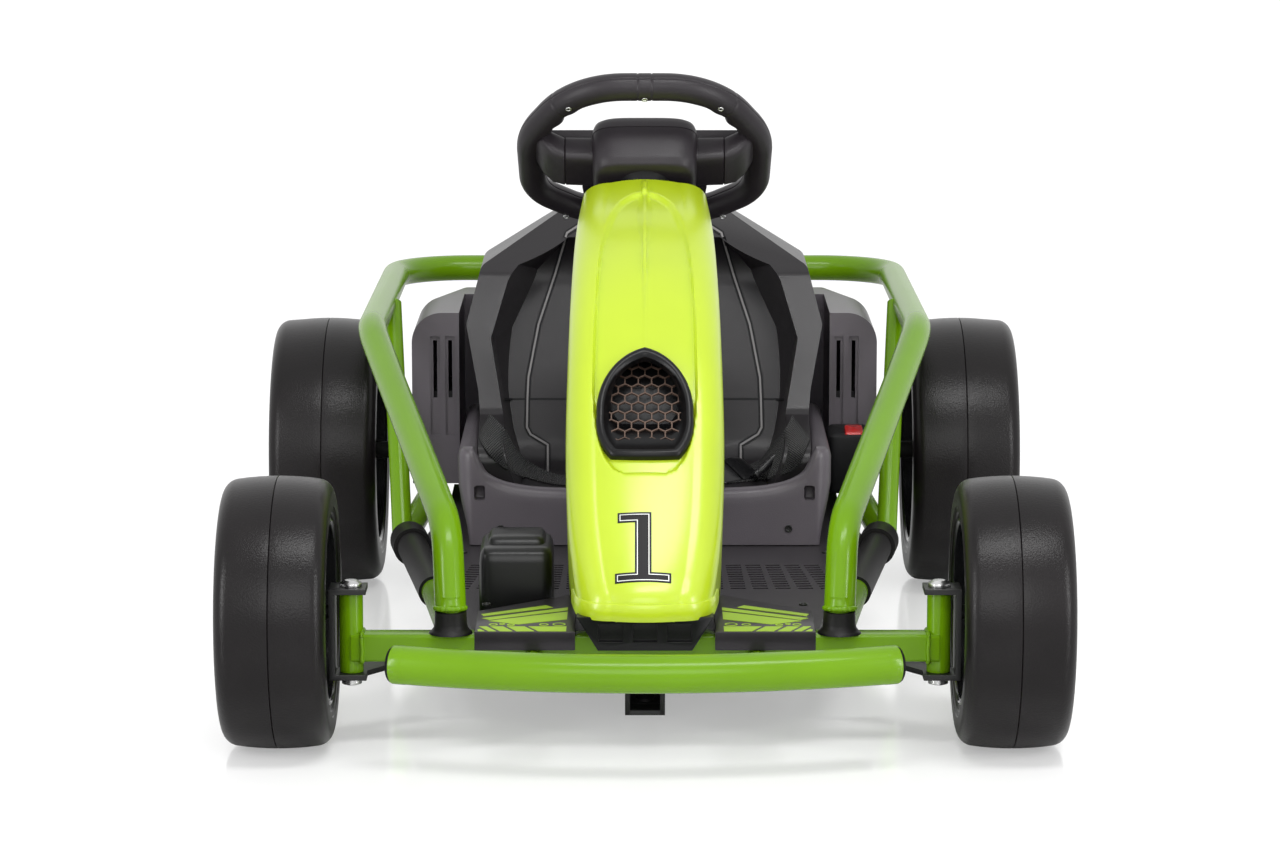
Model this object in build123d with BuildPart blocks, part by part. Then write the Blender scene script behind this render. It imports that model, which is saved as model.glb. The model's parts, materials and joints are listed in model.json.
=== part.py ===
import os
from math import cos, hypot, radians, sin

from build123d import *

# Millimetres, +Z up, the kart faces -Y, +X is the driver's left. Heights are above the floor.
# Every y is measured back from the front axle, and save() moves the finished pieces so that
# the kart's box is centred on the origin.

wheelbase = 640
front_tyre_r = 108
front_tyre_width = 86
front_wheel_x = 290
front_tyre_section = 34
rear_tyre_r = 124.5
rear_tyre_width = 98
rear_wheel_x = 296
rear_tyre_section = 36.5
tyre_shoulder_r = 11
cup_wall = 5
front_rim_r = front_tyre_r - front_tyre_section
rear_rim_r = rear_tyre_r - rear_tyre_section

seat_gap = 0.3
running_gap = 0.05

kingpin_x = 233
kingpin_tube_r = 9.5
kingpin_bottom = 60
kingpin_top = 124
kingpin_bolt_r = 5
beam_size = 22
beam_z = 80.5
ear_thickness = 4.5
ear_half = 14
bracket_x = 12.5
stub_r = 6
arm_back = 62
arm_in = 45

bumper_r = 15
bumper_z = 86
bumper_half = 186
bumper_end_y = -92
bumper_mid_y = -122
bumper_cap = 12
stay_r = 7
stay_x = 88
stay_z = 76
stay_rise = 4

guard_r = 12.5
guard_foot_r = 9
guard_foot_x = 154
guard_foot_y = -2
guard_knee = (158, 30, 172)
guard_hip = (240, wheelbase - 254, 277)
guard_back_x = 243
guard_back_y = wheelbase + 222
guard_back_z = 268
guard_knee_r = 60
guard_hip_r = 170
guard_corner_r = 70
boot_r = 18
boot_height = 22

rail_r = 11
rail_z = 80.5
rail_front_x = 150
rail_sleeve_x = 175
rail_sleeve_y = 190
rail_collar_x = 214
rail_collar_y = wheelbase - 192
rail_rear_x = 200
rail_rear_y = wheelbase - 40
rail_end_y = wheelbase + 95
rail_rear_z = 90
sleeve_r = 13.5
collar_r = 17
collar_length = 34
upright_r = 9
upright_foot_y = wheelbase - 208
upright_head_y = wheelbase - 65

column_angle = 47.9
column_foot_y = 35
column_foot_z = 34
column_r = 8
bearing_at = 455
bearing_length = 26
pitman_at = 56
pitman_thickness = 5
pitman_drop = 39.5
pitman_half = 11
rod_r = 4
rod_end_r = 8
rod_end_height = 10
rod_gap = 0.5
bracket_wall = 4
bracket_half = 16

pan_top = 80
pan_wall = 5
pan_front_y = 60
pan_rear_y = wheelbase + 60
pan_gap = 0.6
deck_top = 100
deck_wall = 6
deck_lip = 15
deck_front_y = -37
deck_half = 134
deck_gap = 1

vent_columns = 6
vent_rows = 11
vent_x = 60
vent_y = 268
vent_step = 18
vent_pitch = 9.6
vent_width = 13
vent_slit = 4.4
vent_fan = 0.07

nose_wall = 4
nose_bottom = 112
nose_under = 28
nose_shoulder_r = 24
nose_step_y = 80
channel_depth = 1.8
channel_half = 42
channel_low = 128
channel_high = 466
rib_half = 2.2
rib_low = 252
base_top_half = 54
base_foot_half = 37
base_front_y = -38
base_rear_y = 54

intake_half = 32
intake_low = 226
intake_high = 304
bezel_wall = 7
bezel_proud = 2
bezel_depth = 14
cell_size = 11
cell_web = 1.4

wheel_at = 548
wheel_half_width = 99
wheel_rise = 88
wheel_fall = 103
rim_tube_r = 12
hub_half = 46
stem_half = 56
spoke_thickness = 12
hub_height = 58
hub_depth = 44
hub_fill = 22
hub_bevel = 12
spoke_bevel = 3
column_top = wheel_at - spoke_thickness / 2 - hub_fill

seat_half = 165
seat_front_y = wheelbase - 208
seat_foot_y = wheelbase + 8
seat_floor = 97
seat_pan = 118
seat_top = 350
seat_lean = 88
base_half = 168
base_front = wheelbase - 240
base_rear = wheelbase + 10
base_wall = 4
base_height = 168
base_lip = 128
base_round = 8
hollow_turn_y = wheelbase - 32
slot_x = 147
slot_z = 136
slot_size = 13

housing_half = 216
housing_front_y = wheelbase - 50
housing_rear_y = wheelbase + 150
housing_back_half = 188
housing_turn_y = wheelbase + 65
pod_inner = seat_half + 7
pod_rear_y = wheelbase + 76
housing_top = 262
housing_wall = 4
housing_round = 28
groove_pitch = 14
groove_width = 9
groove_low = 147
groove_high = 240
groove_depth = 2.4
pod_slot_width = 3.6
pod_slot_low = 182
pod_slot_high = 236
battery_size = (190, 62, 100)
drive_length = 84
drive_height = 86
drive_rise = 20
switch_width = 40
switch_length = 60
switch_height = 30
switch_y = wheelbase - 92
switch_z = 153
strap_width = 38
strap_y = wheelbase - 150
strap_thickness = 1.8

rear_stub_r = 8
rear_stub_in = pod_inner + housing_wall
drive_width = (housing_half - rear_stub_in) / 2
axle_plate = 6

front_reach = -bumper_mid_y + bumper_r
rear_reach = guard_back_y + guard_r
front_axle_y = (front_reach - rear_reach) / 2

os.makedirs("parts", exist_ok=True)


def save(piece, name):
    placed = Location((0, front_axle_y, 0)) * piece
    placed.label = name
    export_step(placed, f"parts/{name}.step")
    print(name, round(placed.volume))


def tube(points, bends, outer):
    with BuildPart() as made:
        with BuildLine() as path:
            if bends:
                FilletPolyline(*points, radius=bends)
            else:
                Polyline(*points)
        with BuildSketch(Plane(origin=path.line @ 0, z_dir=path.line % 0)):
            Circle(outer)
        sweep(path=path.line)
    return made.part


def rod(start, end, outer):
    run = Vector(*end) - Vector(*start)
    with BuildPart() as made:
        with BuildSketch(Plane(origin=start, z_dir=run)):
            Circle(outer)
        extrude(amount=run.length)
    return made.part


def both(piece):
    return Part() + [piece, mirror(piece, Plane.YZ)]


# The column's line: a point at a run along it, raised off it and to one side.
axis_y = cos(radians(column_angle))
axis_z = sin(radians(column_angle))


def on_column(run, rise=0, side=0):
    y = column_foot_y + axis_y * run - axis_z * rise
    z = column_foot_z + axis_z * run + axis_y * rise
    return Vector(side, y, z)


# Square to the column: its own x points to -X and its own y points up off the column.
def column_plane(run):
    return Plane(origin=on_column(run), x_dir=(-1, 0, 0), z_dir=(0, axis_y, axis_z))


# Front beam with the kingpin tubes on its ends.
beam_end = kingpin_x
beam_back = beam_size / 2
kingpin_height = kingpin_top - kingpin_bottom
with BuildPart() as frame_beam:
    with Locations((0, 0, beam_z)):
        Box(2 * beam_end, beam_size, beam_size)
    fillet(frame_beam.edges().filter_by(Axis.X), 2.5)
    with Locations(*[(side * kingpin_x, 0, kingpin_bottom) for side in (-1, 1)]):
        Cylinder(kingpin_tube_r, kingpin_height, align=(Align.CENTER, Align.CENTER, Align.MIN))
    with Locations(*[(side * kingpin_x, 0, kingpin_bottom) for side in (-1, 1)]):
        Cylinder(
            kingpin_bolt_r + running_gap,
            kingpin_height,
            align=(Align.CENTER, Align.CENTER, Align.MIN),
            mode=Mode.SUBTRACT,
        )
save(frame_beam.part, "frame_beam")

# Lower rails from the beam to behind the rear axle, joined by a cross tube.
rail_points = [
    (rail_front_x, 0, rail_z),
    (rail_sleeve_x, rail_sleeve_y, rail_z),
    (rail_collar_x, rail_collar_y, rail_z),
    (rail_rear_x, rail_rear_y, rail_rear_z),
    (rail_rear_x, rail_end_y, rail_rear_z),
]
rail = tube(rail_points, (120, 120, 90), rail_r)
rail -= frame_beam.part
cross = rod((-rail_rear_x, rail_end_y, rail_rear_z), (rail_rear_x, rail_end_y, rail_rear_z), rail_r)
plate_top = rear_tyre_r + rear_stub_r + 12
with BuildPart() as stub_plate:
    with BuildSketch(Plane.YZ.offset(rail_rear_x - axle_plate / 2)):
        with BuildLine():
            Polyline(
                (wheelbase - 34, rail_rear_z),
                (wheelbase + 34, rail_rear_z),
                (wheelbase + 20, plate_top),
                (wheelbase - 20, plate_top),
                close=True,
            )
        make_face()
        with Locations((wheelbase, rear_tyre_r)):
            Circle(rear_stub_r, mode=Mode.SUBTRACT)
    extrude(amount=axle_plate)
side_rails = both(rail + stub_plate.part) + cross
save(side_rails, "side_rails")

# Side guard: one tube up from the beam, along both sides and across behind the seat.
guard_half = [
    (guard_foot_x, guard_foot_y, beam_z + beam_size / 2 + boot_height - 4),
    guard_knee,
    guard_hip,
    (guard_back_x, guard_back_y, guard_back_z),
]
guard_points = guard_half + [(-x, y, z) for x, y, z in reversed(guard_half)]
guard_bends = [guard_knee_r, guard_hip_r, guard_corner_r]
guard = tube(guard_points, guard_bends + guard_bends[::-1], guard_r)
foot_top = guard_half[0][2] + 12
foot = rod((guard_foot_x, guard_foot_y, beam_z + beam_size / 2), (guard_foot_x, guard_foot_y, foot_top), guard_foot_r)
side_guard = guard + both(foot)
save(side_guard, "side_guard")

# Rubber boots round the guard's feet.
with BuildPart() as boot:
    with BuildSketch(Plane.XZ):
        with BuildLine():
            Polyline(
                (guard_foot_r, 0),
                (boot_r, 0),
                (boot_r, 4),
                (guard_foot_r + 4, boot_height - 6),
                (guard_foot_r + 4, boot_height - 4 - seat_gap),
                (guard_foot_r, boot_height - 4 - seat_gap),
                close=True,
            )
        make_face()
    revolve(axis=Axis.Z)
boot_seat = Location((guard_foot_x, guard_foot_y, beam_z + beam_size / 2))
guard_boots = both(boot_seat * boot.part) - side_guard
save(guard_boots, "guard_boots")

# Uprights from the rails to the guard, coped to both.
upright_foot = (rail_collar_x + 3, upright_foot_y, rail_z)
hip_run = (upright_head_y - guard_hip[1]) / (guard_back_y - guard_hip[1])
head_x = guard_hip[0] + hip_run * (guard_back_x - guard_hip[0])
head_z = guard_hip[2] + hip_run * (guard_back_z - guard_hip[2])
upright = rod(upright_foot, (head_x - 8, upright_head_y, head_z), upright_r)
upright = (upright - guard) - rail
upright = upright.solids().sort_by(SortBy.VOLUME)[-1]
uprights = both(Part() + upright)
save(uprights, "uprights")

# Rubber sleeves and collars over the rails.
sleeve_start = Vector(rail_sleeve_x, rail_sleeve_y, rail_z)
sleeve_line = Vector(rail_collar_x, rail_collar_y, rail_z) - sleeve_start
sleeve_unit = sleeve_line.normalized()
sleeve_from = sleeve_start + sleeve_unit * 14
sleeve_to = sleeve_start + sleeve_unit * (sleeve_line.length - 22)
collar_from = sleeve_to - sleeve_unit * collar_length
sleeve = rod(tuple(sleeve_from), tuple(collar_from), sleeve_r)
sleeve += rod(tuple(collar_from), tuple(sleeve_to), collar_r)
sleeve = sleeve - rail - upright
rail_sleeves = both(sleeve)
save(rail_sleeves, "rail_sleeves")

# Bumper tube on two stays, with end caps.
with BuildPart() as bumper_tube:
    with BuildLine(Plane.XY.offset(bumper_z)) as bow:
        ThreePointArc((-bumper_half, bumper_end_y), (0, bumper_mid_y), (bumper_half, bumper_end_y))
    with BuildSketch(Plane(origin=bow.line @ 0, z_dir=bow.line % 0)):
        Circle(bumper_r)
    sweep(path=bow.line)
stay_end = (stay_x, bumper_mid_y + 10, stay_z + stay_rise)
stays = both(rod((stay_x, -beam_back, stay_z), stay_end, stay_r))
stays -= frame_beam.part
bumper = bumper_tube.part + stays
save(bumper, "bumper")
cap_plane = Plane(origin=bow.line @ 1, z_dir=bow.line % 1)
with BuildPart() as cap:
    with BuildSketch(cap_plane):
        Circle(bumper_r)
    extrude(amount=bumper_cap)
    fillet(cap.faces().sort_by(Axis.X)[-1].edges(), 5)
bumper_caps = both(cap.part)
save(bumper_caps, "bumper_caps")

# Lower column bracket: a U plate welded under the beam, open to the rear.
bracket_low = column_foot_z - column_r - 6
with BuildPart() as column_bracket:
    for side in (-1, 1):
        with BuildSketch(Plane.YZ.offset(side * bracket_half - (bracket_wall if side > 0 else 0))):
            with BuildLine():
                Polyline(
                    (-beam_back + 2, beam_z - beam_size / 2),
                    (beam_back, beam_z - beam_size / 2),
                    (column_foot_y + 14, column_foot_z + 14),
                    (column_foot_y + 14, bracket_low),
                    (column_foot_y - 20, bracket_low),
                    close=True,
                )
            make_face()
        extrude(amount=bracket_wall)
    with Locations((0, column_foot_y - 3, bracket_low + bracket_wall / 2)):
        Box(2 * bracket_half, 34, bracket_wall)
    with BuildSketch(column_plane(-4)):
        Rectangle(2 * bracket_half - 2 * bracket_wall, 2 * column_r + 10)
        Circle(column_r + running_gap, mode=Mode.SUBTRACT)
    extrude(amount=12)
save(column_bracket.part, "column_bracket")


# Floor pan between the rails, with fans of vent slots.
def rail_inner(y):
    for (x0, y0, _), (x1, y1, _) in zip(rail_points, rail_points[1:]):
        if y0 <= y <= y1:
            slant = hypot(x1 - x0, y1 - y0) / (y1 - y0)
            return x0 + (x1 - x0) * (y - y0) / (y1 - y0) - collar_r * slant - pan_gap
    return rail_rear_x - collar_r - pan_gap


pan_steps = [pan_front_y, rail_sleeve_y, rail_collar_y, rail_rear_y, pan_rear_y]
with BuildPart() as floor_pan:
    with BuildSketch(Plane.XY.offset(pan_top - pan_wall)):
        with BuildLine():
            right = [(rail_inner(y), y) for y in pan_steps]
            Polyline(*right, *[(-x, y) for x, y in reversed(right)], close=True)
        make_face()
        with BuildLine():
            Polyline((-34, pan_front_y - 1), (34, pan_front_y - 1), (34, 128), (-34, 128), close=True)
        make_face(mode=Mode.SUBTRACT)
        for side in (-1, 1):
            for column in range(vent_columns):
                across = column * vent_step
                with Locations(Location((side * (vent_x + across), vent_y, 0), (0, 0, 1), side * across * vent_fan)):
                    with GridLocations(vent_step, vent_pitch, 1, vent_rows):
                        Rectangle(vent_width, vent_slit, mode=Mode.SUBTRACT)
    extrude(amount=pan_wall)
save(floor_pan.part, "floor_pan")

# Deck plates beside the nose base, with a front lip.
with BuildPart() as deck_right:
    with BuildSketch(Plane.XY.offset(deck_top - deck_wall)):
        with BuildLine():
            Polyline(
                (base_top_half + deck_gap, deck_front_y),
                (deck_half, deck_front_y),
                (deck_half, 40),
                (base_top_half + deck_gap, 108),
                close=True,
            )
        make_face()
    extrude(amount=deck_wall)
    lip_size = (deck_half - base_top_half - deck_gap, 6, deck_lip)
    with Locations((base_top_half + deck_gap, deck_front_y, deck_top - deck_lip)):
        Box(*lip_size, align=Align.MIN)
    foot_drop = deck_top - deck_wall - pan_top
    with Locations((base_top_half + deck_gap + 6, 64, pan_top)):
        Box(50, 8, foot_drop, align=Align.MIN)
deck_plates = both(deck_right.part)
save(deck_plates, "deck_plates")

# Nose base: a tapered block with three recesses in its front.
with BuildPart() as nose_base:
    with BuildSketch(Plane.XZ.offset(-base_rear_y)):
        with BuildLine():
            Polyline(
                (-base_foot_half, deck_top - deck_lip),
                (base_foot_half, deck_top - deck_lip),
                (base_top_half, nose_bottom),
                (-base_top_half, nose_bottom),
                close=True,
            )
        make_face()
    extrude(amount=base_rear_y - base_front_y)
    with Locations((0, 0, beam_z)):
        Box(300, beam_size + 2 * seat_gap, beam_size + 2 * seat_gap, mode=Mode.SUBTRACT)
    with Locations(*[(x, base_front_y, nose_bottom - 13) for x in (-27, 0, 27)]):
        Box(19, 12, 14, mode=Mode.SUBTRACT)
save(nose_base.part, "nose_base")

# Nose shell: sections square to the column, hollow and open underneath.
# run along the column, half width, rise of the front face off the column
nose_sections = [
    (6, 49, 112),
    (60, 61, 121),
    (160, 64, 124),
    (245, 63, 126),
    (340, 61, 102),
    (425, 58, 61),
    (490, 54, 19),
]


def nose_face(run, half, rise, inset):
    w, h, r = half - inset, rise - inset, nose_shoulder_r - inset
    low = -nose_under - (inset * 3 if inset else 0)
    with BuildSketch(column_plane(run)) as face:
        with BuildLine():
            Line((-w, low), (w, low))
            Line((w, low), (w, h - r))
            ThreePointArc((w, h - r), (w - 0.293 * r, h - 0.293 * r), (w - r, h))
            ThreePointArc((w - r, h), (0, h + 5), (-w + r, h))
            ThreePointArc((-w + r, h), (-w + 0.293 * r, h - 0.293 * r), (-w, h - r))
            Line((-w, h - r), (-w, low))
        make_face()
    return face.sketch


outer = loft([nose_face(*row, 0) for row in nose_sections])
inner_rows = [(6 + nose_wall - 12, 49, 108)] + nose_sections[1:-1] + [(490 - nose_wall, 54, 22)]
inner = loft([nose_face(*row, nose_wall) for row in inner_rows])
with BuildPart() as below:
    with Locations((0, 0, nose_bottom)):
        Box(wheelbase, 2 * nose_step_y, 2 * nose_bottom, align=(Align.CENTER, Align.CENTER, Align.MAX))
    with Locations((0, 0, deck_top + seat_gap)):
        Box(wheelbase, 2 * wheelbase, 2 * nose_bottom, align=(Align.CENTER, Align.CENTER, Align.MAX))
shell = outer - inner - below.part
with BuildPart() as top_hole:
    with BuildSketch(column_plane(470)):
        Circle(column_r + 2)
    extrude(amount=60)
shell = shell - top_hole.part

# The arched channel down the nose's face, round the intake, with a rib along its middle.
channel_foot = channel_low + 60
with BuildPart() as channel:
    with BuildSketch(Plane(origin=on_column(0), x_dir=(1, 0, 0), z_dir=(0, -axis_z, axis_y))):
        with BuildLine():
            Line((-0.4 * channel_half, channel_low), (0.4 * channel_half, channel_low))
            for side in (-1, 1):
                ThreePointArc(
                    (0.4 * side * channel_half, channel_low),
                    (0.76 * side * channel_half, channel_low + 16),
                    (side * channel_half, channel_foot),
                )
                Line((side * channel_half, channel_foot), (side * channel_half, channel_foot + 70))
                ThreePointArc(
                    (side * channel_half, channel_foot + 70),
                    (0.94 * side * channel_half, channel_high - 124),
                    (0.78 * side * channel_half, channel_high - 48),
                )
                ThreePointArc(
                    (0.78 * side * channel_half, channel_high - 48),
                    (0.48 * side * channel_half, channel_high - 16),
                    (0, channel_high),
                )
        make_face()
        with Locations((0, rib_low)):
            Rectangle(2 * rib_half, channel_high, align=(Align.CENTER, Align.MIN), mode=Mode.SUBTRACT)
    extrude(amount=3 * nose_bottom)
floor_rows = [(run, half - channel_depth, rise - channel_depth) for run, half, rise in nose_sections]
channel_floor = loft([nose_face(*row, 0) for row in floor_rows])
shell = shell - ((outer - channel_floor) & channel.part)


def intake_face(inset, low, high):
    w, tall = intake_half - inset, high - low
    with BuildSketch(Plane.XZ.offset(120)) as face:
        with BuildLine():
            Line((-w * 0.7, low), (w * 0.7, low))
            for side in (-1, 1):
                turn = (side * w, low + 0.36 * tall)
                ThreePointArc((side * w * 0.7, low), (side * w * 0.91, low + 0.12 * tall), turn)
                ThreePointArc(turn, (side * w * 0.75, low + 0.77 * tall), (0, high))
        make_face()
    return face.sketch


hole = extrude(intake_face(-bezel_wall, intake_low, intake_high), amount=-330)
nose_shell = shell - hole
nose_shell = Part() + nose_shell.solids().sort_by(SortBy.VOLUME)[-1]
save(nose_shell, "nose_shell")

# Intake bezel, a ring that follows the nose face, and the mesh behind it.
proud = loft([nose_face(run, half + bezel_proud, rise + bezel_proud, 0) for run, half, rise in nose_sections])
deep = loft([nose_face(run, half - bezel_depth, rise - bezel_depth, 0) for run, half, rise in nose_sections])
ring = extrude(intake_face(-bezel_wall + 0.2, intake_low + 0.2, intake_high - 0.2), amount=-330)
bore = extrude(intake_face(0, intake_low + bezel_wall, intake_high - bezel_wall), amount=-330)
band = ring - bore
bezel = (band & proud) - deep
bezel = Part() + bezel.solids().sort_by(SortBy.VOLUME)[-1]
save(bezel, "intake_bezel")

mesh_run = intake_high - intake_low
mesh_plane = Plane(origin=(0, 84, (intake_low + intake_high) / 2), x_dir=(1, 0, 0), z_dir=(0, -0.76, 0.65))
with BuildPart() as mesh:
    with BuildSketch(mesh_plane):
        Rectangle(2 * intake_half + 8, mesh_run + 24)
        with Locations(Location((0, 0, 0), (0, 0, 1), 90)):
            with HexLocations(cell_size / 2 / cos(radians(30)), 9, 7):
                RegularPolygon(cell_size / 2 - cell_web / 2, 6, major_radius=False, mode=Mode.SUBTRACT)
    extrude(amount=3)
well = extrude(intake_face(0.2, intake_low + bezel_wall + 0.2, intake_high - bezel_wall - 0.2), amount=-330)
intake_mesh = mesh.part & well
intake_mesh = Part() + intake_mesh.solids().sort_by(SortBy.VOLUME)[-1]
save(intake_mesh, "intake_mesh")


# Column bearing between the nose walls.
def nose_half(run):
    for (run0, half0, _), (run1, half1, _) in zip(nose_sections, nose_sections[1:]):
        if run0 <= run <= run1:
            return half0 + (half1 - half0) * (run - run0) / (run1 - run0)
    return nose_sections[-1][1]


bearing_half = nose_half(bearing_at) - nose_wall - seat_gap
with BuildPart() as bearing:
    with BuildSketch(column_plane(bearing_at)):
        Rectangle(2 * bearing_half, 2 * column_r + 12)
        Circle(column_r + running_gap, mode=Mode.SUBTRACT)
    extrude(amount=-bearing_length)
bearing_part = bearing.part & inner
save(bearing_part, "column_bearing")

# Steering column with the pitman plate.
pin_low = -pitman_drop
with BuildPart() as column:
    with BuildSketch(column_plane(-2)):
        Circle(column_r)
    extrude(amount=column_top + 2)
    with BuildSketch(column_plane(pitman_at)):
        with BuildLine():
            Polyline(
                (-14, 12),
                (14, 12),
                (pitman_half + 10, pin_low - 2),
                (pitman_half + 5, pin_low - 9),
                (-pitman_half - 5, pin_low - 9),
                (-pitman_half - 10, pin_low - 2),
                close=True,
            )
        make_face()
    extrude(amount=pitman_thickness)
    with BuildSketch(column_plane(pitman_at + pitman_thickness)):
        with Locations((-pitman_half, pin_low), (pitman_half, pin_low)):
            RegularPolygon(5.5, 6)
    extrude(amount=4)
save(column.part, "steering_column")

# Steering wheel: rim with flattened foot, spokes and a boss on the column.
# across, up from the column, bend
rim_rows = [
    (wheel_half_width - 33, wheel_rise, 52),
    (wheel_half_width, 5, 80),
    (wheel_half_width - 9, 18 - wheel_fall, 34),
    (wheel_half_width - 47, -wheel_fall, 60),
]
rim_rows += [(-x, y, bend) for x, y, bend in reversed(rim_rows)]
rim_plane = column_plane(wheel_at)
with BuildPart() as wheel:
    with BuildLine(rim_plane) as rim_path:
        FilletPolyline(*[row[:2] for row in rim_rows], radius=[row[2] for row in rim_rows], close=True)
    start = rim_path.line @ 0
    with BuildSketch(Plane(origin=start, z_dir=rim_path.line % 0)):
        Circle(rim_tube_r)
    sweep(path=rim_path.line)
with BuildPart() as spokes:
    with BuildSketch(column_plane(wheel_at - spoke_thickness / 2)):
        with BuildLine():
            Polyline(
                (wheel_half_width - 4, 14),
                (hub_half, 12),
                (-hub_half, 12),
                (4 - wheel_half_width, 14),
                (4 - wheel_half_width, -22),
                (-hub_half, -26),
                (-stem_half, 2 - wheel_fall),
                (stem_half, 2 - wheel_fall),
                (hub_half, -26),
                (wheel_half_width - 4, -22),
                close=True,
            )
        make_face()
    extrude(amount=spoke_thickness)
    chamfer(spokes.faces().sort_by(Axis.Y)[0].edges(), spoke_bevel)
save(wheel.part + spokes.part, "steering_wheel")

# Hub cover: the box round the column's head, between the nose and the wheel.
cover_to = wheel_at - spoke_thickness / 2
cover_from = cover_to - hub_depth
with BuildPart() as cover:
    with BuildSketch(column_plane(cover_from)):
        with Locations((0, 4)):
            RectangleRounded(2 * hub_half, hub_height, 12)
    extrude(amount=hub_depth)
    chamfer(cover.faces().sort_by(Axis.Z)[0].edges().sort_by(Axis.Z)[-1:], hub_bevel)
    with BuildSketch(column_plane(cover_from)):
        Circle(column_r)
    extrude(amount=hub_depth, mode=Mode.SUBTRACT)
    with BuildSketch(column_plane(column_top)):
        Circle(column_r)
    extrude(amount=cover_to - column_top)
wheel_cover = cover.part
save(wheel_cover, "wheel_cover")

# Pedal, on the driver's right.
with BuildPart() as pedal:
    with Locations((-106, 150, pan_top)):
        Box(62, 78, 50, align=(Align.CENTER, Align.CENTER, Align.MIN))
    fillet(pedal.edges().filter_by(Axis.Y).sort_by(Axis.Z)[-2:], 9)
    fillet(pedal.faces().sort_by(Axis.Y)[0].edges().sort_by(Axis.Z)[-1:], 8)
    with Locations((-106, 158, pan_top + 48)):
        Box(42, 52, 18, align=(Align.CENTER, Align.CENTER, Align.MIN))
save(pedal.part, "pedal")

# Seat bucket: side profile crossed with front outline, hollowed the same way.
back_x = [
    (0, seat_top),
    (seat_half - 85, seat_top - 5),
    (seat_half - 13, seat_top - 48),
    (seat_half, seat_top - 98),
    (seat_half - 12, seat_pan + 78),
    (seat_half - 15, seat_pan + 48),
    (seat_half - 27, seat_floor),
]


def front_outline(rows, low):
    points = rows[1:] + [(-x, z) for x, z in reversed(rows[1:])]
    with BuildSketch(Plane.XZ.offset(-base_rear - 2 * seat_lean)) as face:
        with BuildLine():
            FilletPolyline(*points, radius=10, close=True)
        make_face()
    return extrude(face.sketch, amount=4 * seat_lean + base_rear - base_front)


def side_outline(points, half, bend):
    with BuildSketch(Plane.YZ.offset(-half)) as face:
        with BuildLine():
            FilletPolyline(*points, radius=bend, close=True)
        make_face()
    return extrude(face.sketch, amount=2 * half)


bucket_side = [
    (seat_front_y, seat_floor),
    (seat_foot_y, seat_floor),
    (seat_foot_y + seat_lean, seat_top + 2),
    (seat_foot_y + seat_lean - 34, seat_top + 2),
    (seat_foot_y - 36, seat_top - 54),
    (seat_foot_y - 73, seat_top - 115),
    (seat_foot_y - 108, seat_top - 174),
    (seat_front_y, seat_top - 190),
]
hollow_side = [
    (seat_front_y - 60, seat_pan),
    (seat_foot_y - 50, seat_pan),
    (seat_foot_y + seat_lean - 40, seat_top - 18),
    (seat_front_y - 60, seat_top - 18),
]
# across and height at the bolsters' edge, then across and height at the back pad
hollow_rows = [
    (seat_half - 97, seat_top - 20, seat_half - 97, seat_top - 26),
    (seat_half - 43, seat_top - 44, seat_half - 76, seat_top - 66),
    (seat_half - 23, seat_top - 110, seat_half - 62, seat_top - 112),
    (seat_half - 34, seat_pan + 64, seat_half - 52, seat_pan + 66),
    (seat_half - 42, seat_pan + 32, seat_half - 54, seat_pan + 32),
    (seat_half - 53, seat_pan, seat_half - 60, seat_pan),
]
bucket = side_outline(bucket_side, 300, 14) & front_outline(back_x, 0)


def hollow_face(y, taper):
    points = [(x0 + (x1 - x0) * taper, z0 + (z1 - z0) * taper) for x0, z0, x1, z1 in hollow_rows]
    with BuildSketch(Plane.XZ.offset(-y)) as face:
        with BuildLine():
            Polyline(*points, *[(-x, z) for x, z in reversed(points)], close=True)
        make_face()
    return face.sketch


bolsters = extrude(hollow_face(hollow_turn_y, 0), amount=wheelbase / 2)
wings = loft([hollow_face(hollow_turn_y, 0), hollow_face(hollow_turn_y + 1.5 * seat_lean, 1.3)], ruled=True)
hollow = side_outline(hollow_side, 300, 40) & (bolsters + wings)
seat = bucket - hollow
seat = Part() + seat.solids().sort_by(SortBy.VOLUME)[-1]
save(seat, "seat")

# Seat base: a skirt round the bucket's foot, with belt slots in its front.
with BuildPart() as seat_base:
    with Locations((0, base_front, pan_top)):
        Box(
            2 * base_half,
            base_rear - base_front,
            base_height - pan_top,
            align=(Align.CENTER, Align.MIN, Align.MIN),
        )
    fillet(seat_base.edges().filter_by(Axis.Z).sort_by(Axis.Y)[:2], 18)
    fillet(seat_base.faces().sort_by(Axis.Z)[-1].edges(), base_round)
    inside = (2 * (base_half - base_wall), base_rear, base_height - pan_top - base_wall)
    with Locations((0, base_front + base_wall, pan_top)):
        Box(*inside, align=(Align.CENTER, Align.MIN, Align.MIN), mode=Mode.SUBTRACT)
    with BuildSketch(Plane.XY.offset(base_height - base_wall)):
        with Locations((0, base_front + 24)):
            Rectangle(2 * 151, 400, align=(Align.CENTER, Align.MIN))
    extrude(amount=base_wall, mode=Mode.SUBTRACT)
    with BuildSketch(Plane.XZ.offset(-base_front - 30)):
        with BuildLine():
            Polyline((-128, 170), (-96, base_lip), (96, base_lip), (128, 170), close=True)
        make_face()
    extrude(amount=60, mode=Mode.SUBTRACT)
    with Locations(*[(side * slot_x, base_front, slot_z) for side in (-1, 1)]):
        Box(slot_size, 20, slot_size, mode=Mode.SUBTRACT)
save(seat_base.part, "seat_base")

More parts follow.
